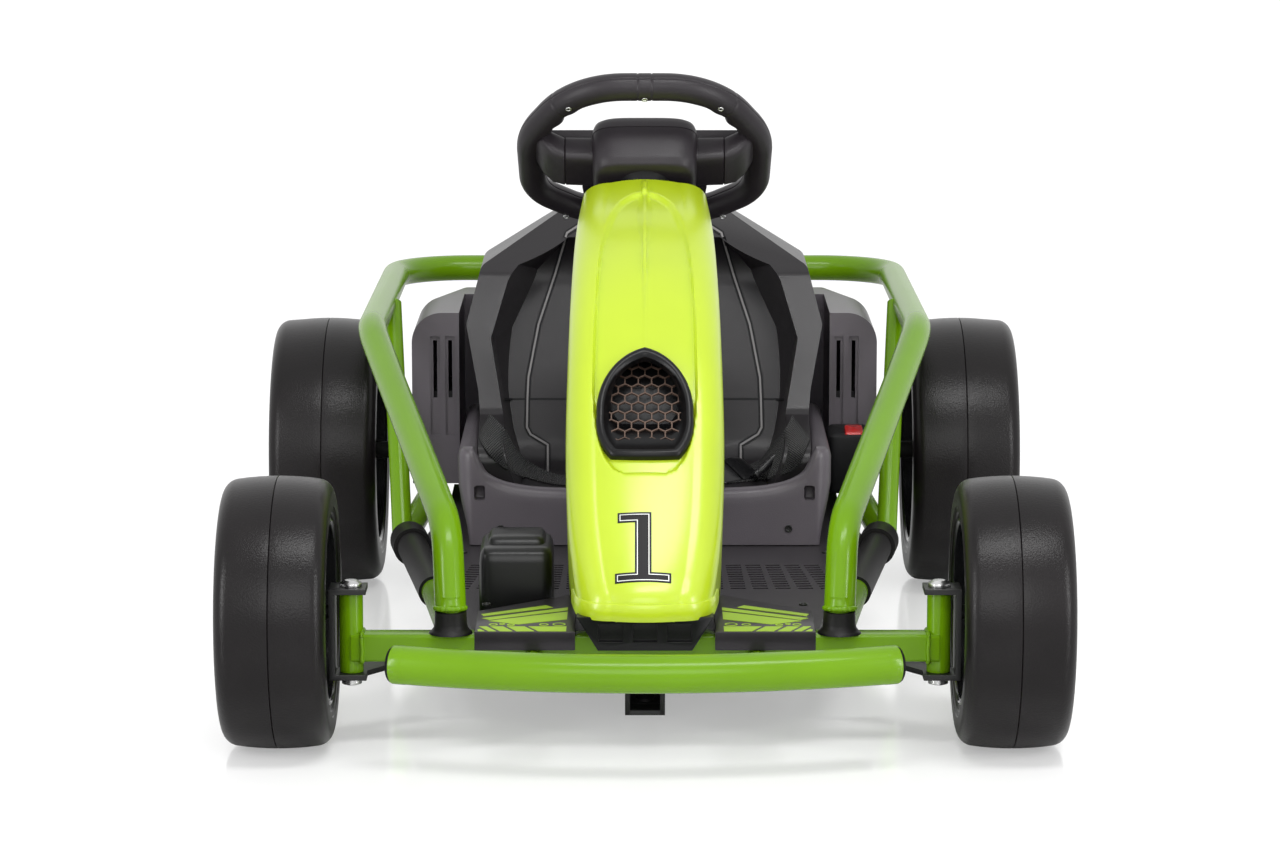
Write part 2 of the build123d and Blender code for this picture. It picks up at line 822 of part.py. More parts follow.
# Lap belt, as two draped straps with their buckles.
strap_line = [(122.7, 178), (111.8, 132), (109.6, 125.4), (100.6, seat_pan + 0.4), (24, seat_pan + 0.4)]
strap_inner = [(x - strap_thickness * 0.7, z + strap_thickness * 0.7) for x, z in strap_line]
with BuildPart() as strap:
    with BuildSketch(Plane.XZ.offset(-strap_y)):
        with BuildLine():
            Polyline(*strap_line, *reversed(strap_inner), close=True)
        make_face()
    extrude(amount=-strap_width)
save(strap.part, "lap_belt_left")
save(mirror(strap.part, Plane.YZ), "lap_belt_right")
with BuildPart() as buckle:
    with Locations((66, strap_y + strap_width / 2, seat_pan + 0.4 + strap_thickness)):
        Box(44, 30, 13, align=(Align.CENTER, Align.CENTER, Align.MIN))
    fillet(buckle.edges().filter_by(Axis.Z), 6)
save(buckle.part, "belt_buckle")

# Rear housing round the seat's back, with ribbed front faces.
housing_low = rail_rear_z + rail_r + seat_gap
plan = [
    (housing_half, housing_front_y),
    (housing_half, housing_turn_y),
    (min(housing_back_half, housing_half), housing_rear_y),
    (-min(housing_back_half, housing_half), housing_rear_y),
    (-housing_half, housing_turn_y),
    (-housing_half, housing_front_y),
    (-pod_inner, housing_front_y),
    (-pod_inner, pod_rear_y),
    (pod_inner, pod_rear_y),
    (pod_inner, housing_front_y),
]


with BuildSketch(Plane.XY.offset(housing_low)) as housing_plan:
    with BuildLine():
        Polyline(*plan, close=True)
    make_face()


# A block on the plan, with the outer edges of its top rounded.
def housing_block(face, height, bend):
    with BuildPart() as block:
        add(extrude(face, amount=height))
        top = block.faces().sort_by(Axis.Z)[-1].outer_wire().edges()
        behind = [edge for edge in top if edge.center().Y > pod_rear_y + 2 * housing_wall]
        beside = [edge for edge in top if abs(edge.center().X) > (pod_inner + housing_half) / 2 and edge not in behind]
        fillet(behind + [edge for edge in beside if edge.center().Y > housing_front_y + 2 * housing_wall], bend)
    return block.part


pod_width = housing_half - pod_inner
cavity_plan = offset(housing_plan.sketch.face(), amount=-housing_wall, kind=Kind.INTERSECTION)
with BuildPart() as housing:
    add(housing_block(housing_plan.sketch, housing_top - housing_low, min(housing_round, 0.65 * pod_width)))
    cavity_round = min(housing_round - housing_wall, 0.65 * (pod_width - 2 * housing_wall))
    add(housing_block(cavity_plan, housing_top - housing_low - housing_wall, cavity_round), mode=Mode.SUBTRACT)
    groove_count = int((pod_width - housing_round / 2) // groove_pitch)
    groove_height = groove_high - groove_low
    for side in (-1, 1):
        for groove in range(groove_count):
            x = side * (pod_inner + groove_pitch * (groove + 0.6))
            with Locations((x, housing_front_y, groove_low + groove_height / 2)):
                Box(groove_width, 2 * groove_depth, groove_height, mode=Mode.SUBTRACT)
            with Locations((x, housing_front_y, pod_slot_low)):
                Box(
                    pod_slot_width,
                    3 * housing_wall,
                    pod_slot_high - pod_slot_low,
                    align=(Align.CENTER, Align.CENTER, Align.MIN),
                    mode=Mode.SUBTRACT,
                )
    with Locations(*[(side * housing_half, wheelbase, rear_tyre_r) for side in (-1, 1)]):
        Cylinder(rear_stub_r + 3, 30, rotation=(0, 90, 0), mode=Mode.SUBTRACT)
save(housing.part, "rear_housing")

# Battery, one plain block behind the seat, and the drive units in the pods.
with BuildPart() as battery:
    with Locations((0, pod_rear_y + housing_wall + 2, housing_low)):
        Box(*battery_size, align=(Align.CENTER, Align.MIN, Align.MIN))
save(battery.part, "battery")
with BuildPart() as drive:
    with Locations((rear_stub_in + drive_width / 2, wheelbase, rear_tyre_r + drive_rise)):
        Box(drive_width, drive_length, drive_height)
    with Locations((rear_stub_in + drive_width / 2, wheelbase, rear_tyre_r)):
        Cylinder(rear_stub_r, 3 * drive_width, rotation=(0, 90, 0), mode=Mode.SUBTRACT)
drive_units = both(drive.part)
save(drive_units, "drive_units")

# Switch box on the driver's left.
with BuildPart() as switch:
    with Locations((base_half, switch_y, switch_z)):
        Box(switch_width, switch_length, switch_height, align=(Align.MIN, Align.CENTER, Align.CENTER))
    fillet(switch.edges().filter_by(Axis.Y).sort_by(Axis.X)[-2:], 4)
    with Locations((base_half + 0.55 * switch_width, switch_y - switch_length / 2 - 1, switch_z + 3)):
        Box(switch_width / 2, 6, switch_height / 3)
save(switch.part, "switch_box")

# Rear stub shafts.
rear_stub_end = rear_wheel_x + rear_tyre_width / 2 - 14
rear_stub = rod((rear_stub_in, wheelbase, rear_tyre_r), (rear_stub_end, wheelbase, rear_tyre_r), rear_stub_r)
collar_in = housing_half + 2
rear_stub += rod((collar_in, wheelbase, rear_tyre_r), (collar_in + 12, wheelbase, rear_tyre_r), rear_stub_r + 6)
rear_stubs = both(rear_stub)
save(rear_stubs, "rear_stubs")


# Knuckles: C bracket, stub axle and steering arm, with the kingpin bolt.
ear_top = kingpin_top + 0.4
ear_low = kingpin_bottom - 0.4 - ear_thickness
front_stub_end = front_wheel_x + front_tyre_width / 2 - 12
with BuildPart() as knuckle:
    with Locations((kingpin_x, 0, ear_top), (kingpin_x, 0, ear_low)):
        Box(2 * bracket_x, 2 * ear_half, ear_thickness, align=(Align.CENTER, Align.CENTER, Align.MIN))
    with Locations((kingpin_x + bracket_x, 0, ear_low)):
        Box(ear_thickness, 2 * ear_half, ear_top + ear_thickness - ear_low, align=(Align.MIN, Align.CENTER, Align.MIN))
    with BuildSketch(Plane.XY.offset(ear_low)):
        with BuildLine():
            Polyline(
                (kingpin_x + bracket_x, ear_half),
                (kingpin_x + bracket_x, 4),
                (kingpin_x - bracket_x, 4),
                (kingpin_x - arm_in - 8, arm_back - 4),
                (kingpin_x - arm_in - 3, arm_back + 8),
                (kingpin_x - arm_in + 9, arm_back + 4),
                close=True,
            )
        make_face()
    extrude(amount=ear_thickness)
    with Locations((kingpin_x + bracket_x, 0, front_tyre_r)):
        Cylinder(stub_r, front_stub_end - kingpin_x - bracket_x, rotation=(0, 90, 0), align=(Align.CENTER, Align.CENTER, Align.MIN))
    with Locations((kingpin_x, 0, ear_low)):
        Cylinder(kingpin_bolt_r, ear_top + 2 * ear_thickness - ear_low, align=(Align.CENTER, Align.CENTER, Align.MIN), mode=Mode.SUBTRACT)
save(knuckle.part, "knuckle_left")
save(mirror(knuckle.part, Plane.YZ), "knuckle_right")
with BuildPart() as bolt:
    with Locations((kingpin_x, 0, ear_low - 6)):
        Cylinder(kingpin_bolt_r, ear_top + ear_thickness + 2 - ear_low + 6, align=(Align.CENTER, Align.CENTER, Align.MIN))
    with Locations((kingpin_x, 0, ear_low - 5)):
        Cylinder(8, 5, align=(Align.CENTER, Align.CENTER, Align.MIN))
    with Locations((kingpin_x, 0, ear_top + ear_thickness)):
        Cylinder(9, 5, align=(Align.CENTER, Align.CENTER, Align.MIN))
    chamfer(bolt.edges().sort_by(Axis.Z)[-1], 2.4, 4)
save(bolt.part, "kingpin_bolt_left")
save(mirror(bolt.part, Plane.YZ), "kingpin_bolt_right")

# Tie rods, from under the steering arm to just under the pitman plate.
rod_drop = rod_gap + rod_end_height / 2
inner_end = on_column(pitman_at - rod_drop, -pitman_drop, pitman_half)
outer_end = Vector(kingpin_x - arm_in, arm_back, inner_end.Z)
outer_top = ear_low - seat_gap
with BuildPart() as inner_eye:
    with BuildSketch(column_plane(pitman_at - rod_gap)):
        with Locations((-pitman_half, -pitman_drop)):
            Circle(rod_end_r)
    extrude(amount=-rod_end_height)
with BuildPart() as outer_eye:
    with Locations((outer_end.X, outer_end.Y, outer_end.Z - rod_end_height / 2)):
        Cylinder(rod_end_r, outer_top - outer_end.Z + rod_end_height / 2, align=(Align.CENTER, Align.CENTER, Align.MIN))
tie_rod = rod(tuple(inner_end), tuple(outer_end), rod_r) + inner_eye.part + outer_eye.part
save(tie_rod, "tie_rod_left")
save(mirror(tie_rod, Plane.YZ), "tie_rod_right")
print("inner end", inner_end, "outer end", outer_end)


# Wheels: tyre as a ring, hub as a cup with a spoked disc and a bore.
def tyre(radius, width, rim):
    half = width / 2
    side = [(half, rim), (half, radius - tyre_shoulder_r), (half - tyre_shoulder_r, radius)]
    with BuildPart() as made:
        with BuildSketch(Plane.XY):
            with BuildLine():
                Polyline(*side, *[(-x, y) for x, y in reversed(side)], close=True)
            make_face()
        revolve(axis=Axis.X)
    return made.part


def hub(width, rim, bore, spokes):
    half = width / 2
    with BuildPart() as made:
        with BuildSketch(Plane.XY):
            with BuildLine():
                Polyline(
                    (-half + 3, rim),
                    (half - 3, rim),
                    (half - 3, rim - cup_wall),
                    (6, rim - cup_wall),
                    (6, bore + 10),
                    (20, bore + 8),
                    (20, bore + running_gap),
                    (-24, bore + running_gap),
                    (-24, bore + 8),
                    (-2, bore + 12),
                    (-2, rim - cup_wall),
                    (-half + 3, rim - cup_wall),
                    close=True,
                )
            make_face()
        revolve(axis=Axis.X)
        middle = (rim - cup_wall + bore + 12) / 2
        with BuildSketch(Plane.YZ.offset(-8)):
            with PolarLocations(middle, spokes):
                Circle((rim - cup_wall - bore - 12) * 0.36)
        extrude(amount=20, mode=Mode.SUBTRACT)
    return made.part


front_tyre = tyre(front_tyre_r, front_tyre_width, front_rim_r)
front_hub = hub(front_tyre_width, front_rim_r, stub_r, 6)
rear_tyre = tyre(rear_tyre_r, rear_tyre_width, rear_rim_r)
rear_hub = hub(rear_tyre_width, rear_rim_r, rear_stub_r, 6)
# name, tyre, hub, x, y, height of the axle
wheel_rows = [
    ("front", front_tyre, front_hub, front_wheel_x, 0, front_tyre_r),
    ("rear", rear_tyre, rear_hub, rear_wheel_x, wheelbase, rear_tyre_r),
]
for name, tyre_part, hub_part, x, y, z in wheel_rows:
    at = Location((x, y, z))
    save(at * tyre_part, f"tyre_{name}_left")
    save(mirror(at * tyre_part, Plane.YZ), f"tyre_{name}_right")
    save(at * hub_part, f"hub_{name}_left")
    save(mirror(at * hub_part, Plane.YZ), f"hub_{name}_right")
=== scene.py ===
import json
from math import acos, atan2, cos, hypot, pi, radians, sin, sqrt

import bpy
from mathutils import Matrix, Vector


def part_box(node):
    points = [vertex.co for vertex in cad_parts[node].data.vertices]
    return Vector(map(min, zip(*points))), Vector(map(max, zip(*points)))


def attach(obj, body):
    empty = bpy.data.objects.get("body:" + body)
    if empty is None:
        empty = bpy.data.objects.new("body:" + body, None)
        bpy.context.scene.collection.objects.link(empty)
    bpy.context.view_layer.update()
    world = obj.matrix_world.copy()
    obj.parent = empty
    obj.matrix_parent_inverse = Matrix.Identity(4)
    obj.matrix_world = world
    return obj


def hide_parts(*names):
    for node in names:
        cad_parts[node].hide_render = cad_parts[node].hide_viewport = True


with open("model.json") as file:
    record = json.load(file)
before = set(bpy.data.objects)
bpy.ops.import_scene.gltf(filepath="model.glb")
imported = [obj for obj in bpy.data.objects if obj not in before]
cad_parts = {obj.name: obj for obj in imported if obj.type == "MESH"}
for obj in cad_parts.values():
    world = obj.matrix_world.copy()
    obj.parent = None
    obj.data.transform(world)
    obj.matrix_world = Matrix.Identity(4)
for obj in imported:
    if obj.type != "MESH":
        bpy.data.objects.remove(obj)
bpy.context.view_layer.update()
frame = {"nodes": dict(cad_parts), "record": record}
nodes = frame["nodes"]
behaviour = frame["record"]["behaviour"]
bodyOf = {node: body for body, names in behaviour["bodies"].items() for node in names}
steering = next(joint for joint in behaviour["joints"] if joint["name"] == "steering_turn")
columnFoot = Vector(steering["pos_m"])
columnLine = Vector(steering["axis"])
columnRise = Vector((0, -columnLine.z, columnLine.y))  # square to the column, up and forwards
acrossLine, alongLine, upLine = Vector((1, 0, 0)), Vector((0, 1, 0)), Vector((0, 0, 1))
frontAxleY = sum(corner[1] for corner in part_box("tyre_front_left")) / 2


# Small tools

def metres(*rows):  # rows given in millimetres
    return [tuple(value / 1000 for value in row) for row in rows]


def clearSelection():
    if bpy.context.mode != "OBJECT":
        bpy.ops.object.mode_set(mode="OBJECT")
    bpy.ops.object.select_all(action="DESELECT")


def makeActive(piece):
    clearSelection()
    piece.select_set(True)
    bpy.context.view_layer.objects.active = piece


def pickFaces(piece, test):  # selects the faces whose centre and normal pass, and opens edit mode
    makeActive(piece)
    bpy.ops.object.mode_set(mode="EDIT")
    bpy.ops.mesh.select_mode(type="FACE")
    bpy.ops.mesh.select_all(action="DESELECT")
    bpy.ops.object.mode_set(mode="OBJECT")
    for face in piece.data.polygons:
        face.select = bool(test(face.center, face.normal))
    bpy.ops.object.mode_set(mode="EDIT")


def applyModifier(piece, kind, **settings):
    makeActive(piece)
    bpy.ops.object.modifier_add(type=kind)
    modifier = piece.modifiers[-1]
    for key, value in settings.items():
        setattr(modifier, key, value)
    bpy.ops.object.modifier_apply(modifier=modifier.name)


def roundEdges(piece, width, sharp):
    applyModifier(piece, "BEVEL", width=width, segments=3, limit_method="ANGLE", angle_limit=radians(sharp))


def inEdit(piece, *steps):  # runs edit operators with the whole piece selected
    makeActive(piece)
    bpy.ops.object.mode_set(mode="EDIT")
    bpy.ops.mesh.select_all(action="SELECT")
    for step in steps:
        step()
    bpy.ops.object.mode_set(mode="OBJECT")


def dropFaces(piece, test):
    pickFaces(piece, test)
    bpy.ops.mesh.delete(type="FACE")
    bpy.ops.object.mode_set(mode="OBJECT")


def settle(piece):  # moves its place, turn and size into the mesh
    makeActive(piece)
    bpy.ops.object.transform_apply(location=True, rotation=True, scale=True)


def joinPieces(pieces):
    clearSelection()
    for piece in pieces:
        piece.select_set(True)
    bpy.context.view_layer.objects.active = pieces[0]
    bpy.ops.object.join()
    return pieces[0]


def finishPiece(piece, name, material, body="chassis", angle=40, stands=()):
    settle(piece)
    inEdit(piece, bpy.ops.mesh.normals_make_consistent)
    bpy.ops.object.shade_smooth_by_angle(angle=radians(angle))
    piece.name = name
    piece.data.name = name
    if material:
        piece.data.materials.clear()
        piece.data.materials.append(material)
    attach(piece, body)
    if stands:
        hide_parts(*stands)
    return piece


def copyNode(node, material, bevel=0.0):  # a smooth copy that stands for a CAD node
    piece = nodes[node].copy()
    piece.data = nodes[node].data.copy()
    bpy.context.scene.collection.objects.link(piece)
    piece.parent = None
    for key in list(piece.keys()):
        del piece[key]
    inEdit(piece, lambda: bpy.ops.mesh.remove_doubles(threshold=0.00001),
           lambda: bpy.ops.mesh.dissolve_limited(angle_limit=radians(0.5)))
    bpy.ops.mesh.customdata_custom_splitnormals_clear()
    if bevel:
        roundEdges(piece, bevel, 30)
    return finishPiece(piece, node + "Skin", material, bodyOf[node], 35, [node])


def shapedGrid(across, along, place):  # a grid whose points go where place says, with u and v from 0 to 1
    clearSelection()
    bpy.ops.mesh.primitive_grid_add(x_subdivisions=across, y_subdivisions=along, size=2)
    piece = bpy.context.object
    for point in piece.data.vertices:
        point.co = place((point.co.x + 1) / 2, (point.co.y + 1) / 2)
    inEdit(piece, lambda: bpy.ops.mesh.remove_doubles(threshold=0.000005),
           lambda: bpy.ops.mesh.dissolve_degenerate(threshold=0.000005))
    return piece


def loftRings(rings, capped=True):  # a skin through closed rings of points
    count = len(rings[0])
    rows = list(rings)
    if capped:
        rows = [[sum(rings[0], Vector()) / count] * count] + rows + [[sum(rings[-1], Vector()) / count] * count]

    def place(u, v):
        return rows[round(v * (len(rows) - 1))][round(u * count) % count].copy()
    return shapedGrid(count, len(rows) - 1, place)


def between(rows, where):  # smooth values between a table's rows, by the first column
    if where <= rows[0][0]:
        return rows[0][1:]
    if where >= rows[-1][0]:
        return rows[-1][1:]
    index = next(i for i in range(len(rows) - 1) if where <= rows[i + 1][0])
    low, high = rows[index], rows[index + 1]
    before = rows[max(index - 1, 0)]
    after = rows[min(index + 2, len(rows) - 1)]
    span = high[0] - low[0]
    t = (where - low[0]) / span
    values = []
    for column in range(1, len(low)):
        slope = (high[column] - low[column]) / span
        into = (low[column] - before[column]) / (low[0] - before[0]) if index else slope
        out = (after[column] - high[column]) / (after[0] - high[0]) if after is not high else slope
        start, end = (into + slope) / 2 * span, (slope + out) / 2 * span
        cubic = low[column] * (2 * t**3 - 3 * t**2 + 1) + start * (t**3 - 2 * t**2 + t)
        values.append(cubic + high[column] * (3 * t**2 - 2 * t**3) + end * (t**3 - t**2))
    return values


def ease(value):  # 0 to 1 with soft ends
    value = max(0.0, min(1.0, value))
    return value * value * (3 - 2 * value)


def squarish(turn, halfWide, halfTall, power):  # a point on a box's outline with round corners, turn from 0 to 1
    c, s = cos(2 * pi * turn), sin(2 * pi * turn)
    wide = abs(c) ** (2 / power) * (1 if c > 0 else -1)
    tall = abs(s) ** (2 / power) * (1 if s > 0 else -1)
    return halfWide * wide, halfTall * tall


def boxRing(halfWide, halfTall, power, count, place):
    return [place(*squarish(index / count, halfWide, halfTall, power)) for index in range(count)]


def roundRing(middle, side, up, size, count):
    turns = [2 * pi * index / count for index in range(count)]
    return [middle + (side * cos(turn) + up * sin(turn)) * size for turn in turns]


def arcThrough(start, middle, end, count):  # points on the circle through three points, without the first
    (ax, ay), (bx, by), (cx, cy) = start, middle, end
    d = 2 * (ax * (by - cy) + bx * (cy - ay) + cx * (ay - by))
    ux = ((ax**2 + ay**2) * (by - cy) + (bx**2 + by**2) * (cy - ay) + (cx**2 + cy**2) * (ay - by)) / d
    uy = ((ax**2 + ay**2) * (cx - bx) + (bx**2 + by**2) * (ax - cx) + (cx**2 + cy**2) * (bx - ax)) / d
    radius = hypot(ax - ux, ay - uy)
    first, last = atan2(ay - uy, ax - ux), atan2(cy - uy, cx - ux)
    halfway = atan2(by - uy, bx - ux)
    turn = (last - first) % (2 * pi)
    if (halfway - first) % (2 * pi) > turn:
        turn -= 2 * pi
    turns = [first + turn * i / count for i in range(1, count + 1)]
    return [(ux + radius * cos(angle), uy + radius * sin(angle)) for angle in turns]


def roundedPath(corners, bends, pace):  # an evenly stepped closed path with a bend at each corner
    points = []
    for index, (x, y) in enumerate(corners):
        before = Vector(corners[index - 1]) - Vector((x, y))
        after = Vector(corners[(index + 1) % len(corners)]) - Vector((x, y))
        half = before.angle(after) / 2
        reach = bends[index] * cos(half) / sin(half)
        middle = Vector((x, y)) + (before.normalized() + after.normalized()).normalized() * bends[index] / sin(half)
        start = Vector((x, y)) + before.normalized() * reach
        end = Vector((x, y)) + after.normalized() * reach
        halfway = middle + (Vector((x, y)) - middle).normalized() * bends[index]
        points += [tuple(start)] + arcThrough(tuple(start), tuple(halfway), tuple(end), 24)
    lengths = [0.0]
    for index in range(len(points)):
        lengths.append(lengths[-1] + (Vector(points[(index + 1) % len(points)]) - Vector(points[index])).length)
    count = int(lengths[-1] / pace)
    stepped, spot = [], 0
    for index in range(count):
        aim = lengths[-1] * index / count
        while lengths[spot + 1] < aim:
            spot += 1
        share = (aim - lengths[spot]) / max(lengths[spot + 1] - lengths[spot], 1e-9)
        stepped.append(Vector(points[spot]).lerp(Vector(points[(spot + 1) % len(points)]), share))
    return stepped


def ringPiece(rows, middle, segments):  # turns a profile of across and radius round an axle
    def place(u, v):
        across, radius = rows[round(v * (len(rows) - 1))]
        return middle + Vector((across, radius * sin(2 * pi * u), radius * cos(2 * pi * u)))
    return shapedGrid(segments, len(rows) - 1, place)


def tubeAlong(points, radius):  # a round bead along a closed line of points
    count = len(points) + 1
    frames = []
    for index in range(count):
        spot = points[index % len(points)]
        line = (points[(index + 1) % len(points)] - points[index - 1]).normalized()
        side = line.cross(upLine if abs(line.z) < 0.9 else alongLine).normalized()
        frames.append((spot, side, line.cross(side)))

    def place(u, v):
        spot, side, up = frames[round(v * (count - 1))]
        return spot + (side * cos(2 * pi * u) + up * sin(2 * pi * u)) * radius
    return shapedGrid(8, count - 1, place)


def addBolt(middle, line, radius, height):  # a domed head with a hex socket, standing on a surface
    clearSelection()
    bpy.ops.mesh.primitive_cylinder_add(vertices=24, radius=radius, depth=height)
    piece = bpy.context.object
    pickFaces(piece, lambda centre, normal: normal.z > 0.9)
    bpy.ops.mesh.inset(thickness=radius * 0.42)
    bpy.ops.mesh.extrude_region_move(TRANSFORM_OT_translate={"value": (0, 0, -height * 0.5)})
    bpy.ops.object.mode_set(mode="OBJECT")
    roundEdges(piece, height * 0.3, 50)
    piece.rotation_euler = line.to_track_quat("Z", "Y").to_euler()
    piece.location = middle + line * (height / 2 - 0.0003)
    settle(piece)
    return piece


def onColumn(across, run, rise):
    return columnFoot + acrossLine * across + columnLine * run + columnRise * rise


# Materials

def addNode(tree, kind, inputs={}, **settings):
    node = tree.nodes.new("ShaderNode" + kind)
    for key, value in settings.items():
        setattr(node, key, value)
    for key, value in inputs.items():
        node.inputs[key].default_value = value
    return node


def linkAll(tree, *links):  # node and output, then node and input
    for start, output, end, entry in links:
        tree.links.new(start.outputs[output], end.inputs[entry])


def surface(name, colour, roughness, grain=900.0, depth=0.05, shine=0.5, coat=0.0, coatRoughness=0.1,
            metallic=0.0, sheen=0.0, blotch=0.1, blotchScale=12.0):
    material = bpy.data.materials.new(name)
    material.use_nodes = True
    tree = material.node_tree
    shader = tree.nodes["Principled BSDF"]
    uniform = {"Metallic": metallic, "Specular IOR Level": shine, "Coat Weight": coat,
               "Coat Roughness": coatRoughness, "Sheen Weight": sheen}
    for key, value in uniform.items():
        shader.inputs[key].default_value = value
    place = addNode(tree, "TexCoord")
    patches = addNode(tree, "TexNoise", {"Scale": blotchScale, "Detail": 3.0})
    tint = addNode(tree, "ValToRGB")
    for stop, where, share in zip(tint.color_ramp.elements, (0.3, 0.7), (1 - blotch, 1 + blotch)):
        stop.position = where
        stop.color = [min(1, c * share) for c in colour] + [1]
    wear = addNode(tree, "MapRange", {"To Min": roughness * 0.88, "To Max": min(1, roughness * 1.12)})
    fine = addNode(tree, "TexNoise", {"Scale": grain, "Detail": 2.0})
    bump = addNode(tree, "Bump", {"Strength": depth, "Distance": 0.001})
    linkAll(tree, (place, "Object", patches, "Vector"), (place, "Object", fine, "Vector"),
            (patches, "Fac", tint, "Fac"), (patches, "Fac", wear, "Value"), (tint, "Color", shader, "Base Color"),
            (wear, "Result", shader, "Roughness"), (fine, "Fac", bump, "Height"), (bump, "Normal", shader, "Normal"))
    return material


# Name, colour, roughness, scale and depth of the grain, and shine
tubePaint = surface("tubePaint", (0.15, 0.32, 0.002), 0.24, 350, 0.03, 0.25, coat=0.1, coatRoughness=0.12, blotch=0.05)
nosePaint = surface("nosePaint", (0.5, 0.66, 0.01), 0.36, 160, 0.012, coat=0.6, coatRoughness=0.2, blotch=0.03)
# Inside of the nose shell: the lime plastic made dark as painted shade, for the shadow inside the shell
noseShadedInside = surface("noseShadedInside", (0.05, 0.07, 0.004), 0.6, 600, 0.1)
charcoal = surface("charcoal", (0.0115, 0.0097, 0.0115), 0.33, 1500, 0.12, 0.38)
baseGrey = surface("baseGrey", (0.105, 0.093, 0.107), 0.34, 1300, 0.16, 0.45)
# The pan's grey is the seat base's grey plastic made darker: painted shade on the low pan under the seat and nose
panShadedGrey = surface("panShadedGrey", (0.036, 0.032, 0.037), 0.36, 1300, 0.16, 0.35)
glossBlack = surface("glossBlack", (0.009, 0.009, 0.01), 0.18, 500, 0.02, 0.4, coat=0.3)
flatBlack = surface("flatBlack", (0.006, 0.006, 0.007), 0.5, 1200, 0.18, 0.22)
rubber = surface("rubber", (0.006, 0.0055, 0.0055), 0.45, 800, 0.12, 0.25, blotch=0.12)
tyreRubber = surface("tyreRubber", (0.008, 0.0065, 0.007), 0.3, 700, 0.22, 0.24, blotch=0.35, blotchScale=9)
darkSteel = surface("darkSteel", (0.03, 0.03, 0.03), 0.35, 600, 0.08, metallic=0.6)
brightSteel = surface("brightSteel", (0.62, 0.62, 0.62), 0.28, 600, metallic=1.0)
webbing = surface("webbing", (0.0045, 0.0045, 0.005), 0.55, 900, 0.3, 0.35, sheen=0.1)
bronzeMesh = surface("bronzeMesh", (0.13, 0.085, 0.065), 0.35, 600, 0.08, metallic=0.5)
decalDark = surface("decalDark", (0.014, 0.013, 0.015), 0.45, 500, 0.01, 0.2)
decalWhite = surface("decalWhite", (0.82, 0.84, 0.8), 0.3, 500, 0.01, coat=0.4)
rockerRed = surface("rockerRed", (0.55, 0.012, 0.01), 0.25, 500, 0.02, coat=0.4)
# Extra-dark black; on the intake's cup it is partly painted shade, darkening the hollow behind the mesh
deepBlack = surface("deepBlack", (0.0035, 0.0035, 0.004), 0.3, 1000, 0.06, 0.25)
inlayGrey = surface("inlayGrey", (0.22, 0.21, 0.21), 0.4, 800, 0.03)
glossPlastic = surface("glossPlastic", (0.009, 0.009, 0.01), 0.28, 900, 0.06, 0.4)
pedalBlack = surface("pedalBlack", (0.0055, 0.0055, 0.006), 0.3, 1200, 0.05, 0.35)
filmLime = surface("filmLime", (0.4, 0.62, 0.02), 0.35, 500, 0.01, coat=0.1, blotch=0.06)
deckFilmDark = surface("deckFilmDark", (0.013, 0.01, 0.014), 0.34, 700, 0.03, 0.35, coat=0.1, blotch=0.15,
                       blotchScale=30)
wheelGrip = surface("wheelGrip", (0.019, 0.0155, 0.019), 0.4, 1100, 0.16, 0.35, blotch=0.12, blotchScale=18)


def weaveStrap(material, ribs, threads):  # cross ribs and threads that follow a strap's own map
    tree = material.node_tree
    place = addNode(tree, "UVMap")
    turned = addNode(tree, "Mapping", {"Scale": (threads, ribs, 1)})
    cross, length = [addNode(tree, "TexWave", {"Scale": 0.314}, bands_direction=way) for way in "YX"]
    both = addNode(tree, "Math", {1: 0.35}, operation="MULTIPLY_ADD")
    bump = addNode(tree, "Bump", {"Strength": 0.9, "Distance": 0.0012})
    linkAll(tree, (place, "UV", turned, "Vector"), (turned, "Vector", cross, "Vector"),
            (turned, "Vector", length, "Vector"), (length, "Fac", both, 0), (cross, "Fac", both, 2),
            (both, 0, bump, "Height"), (bump, "Normal", tree.nodes["Principled BSDF"], "Normal"))


weaveStrap(webbing, 70, 16)
print("Materials are made")

# Nose shell, square sections along the column
nose = {
    "rows": metres(  # run along the column, half width, rise of the face
        (3, 46.8, 109), (14, 50, 118), (36, 54.8, 120), (60, 58.2, 121.5), (90, 61.2, 122.8), (160, 63.8, 125),
        (245, 63, 125.8), (340, 61, 103), (425, 58, 62), (490, 53.5, 19),
    ),
    "shoulder": 0.024, "crown": 0.005, "under": -0.028, "wall": 0.0035,
    "stepRun": 0.088, "frontLow": 0.112, "rearLow": 0.1003, "faceShare": 0.72,
    "channel": metres(  # run, half width of the sunk arch
        (128, 17), (132, 24.5), (142, 31.5), (160, 37.5), (188, 41.5), (258, 42), (342, 39.5), (400, 35), (430, 29),
        (450, 21), (461, 11), (466, 0),
    ),
    "sink": 0.0042,
    "rib": metres((248, 0.6, 0.4), (320, 1, 1.2), (365, 1.9, 3), (484, 2.2, 4)),
    "flank": metres((355, 0), (385, 4), (425, 6.2), (455, 4.6), (480, 0)),
}


def channelDepth(across, run):  # from 0 at the arch's edge to 1 on its floor
    wide = abs(across)
    rows = nose["channel"]
    if not rows[0][0] < run < rows[-1][0]:
        return 0.0
    side = between(rows, run)[0] - wide
    if side <= 0:
        return 0.0
    top = rows[-1][0] - run
    foot = run - rows[0][0]
    for low, high in zip(rows, rows[1:]):
        if min(low[1], high[1]) <= wide <= max(low[1], high[1]) and low[1] != high[1]:
            reach = low[0] + (high[0] - low[0]) * (wide - low[1]) / (high[1] - low[1])
            if high[1] < low[1]:
                top = reach - run
            else:
                foot = run - reach
    nearTop = side * top / hypot(side, top) if top > 0 else 0
    nearFoot = side * foot / hypot(side, foot) if foot > 0 else 0
    band = 0.0022 + 0.0045 * ease((run - 0.34) / 0.09)
    return ease(min(nearTop, nearFoot) / band)


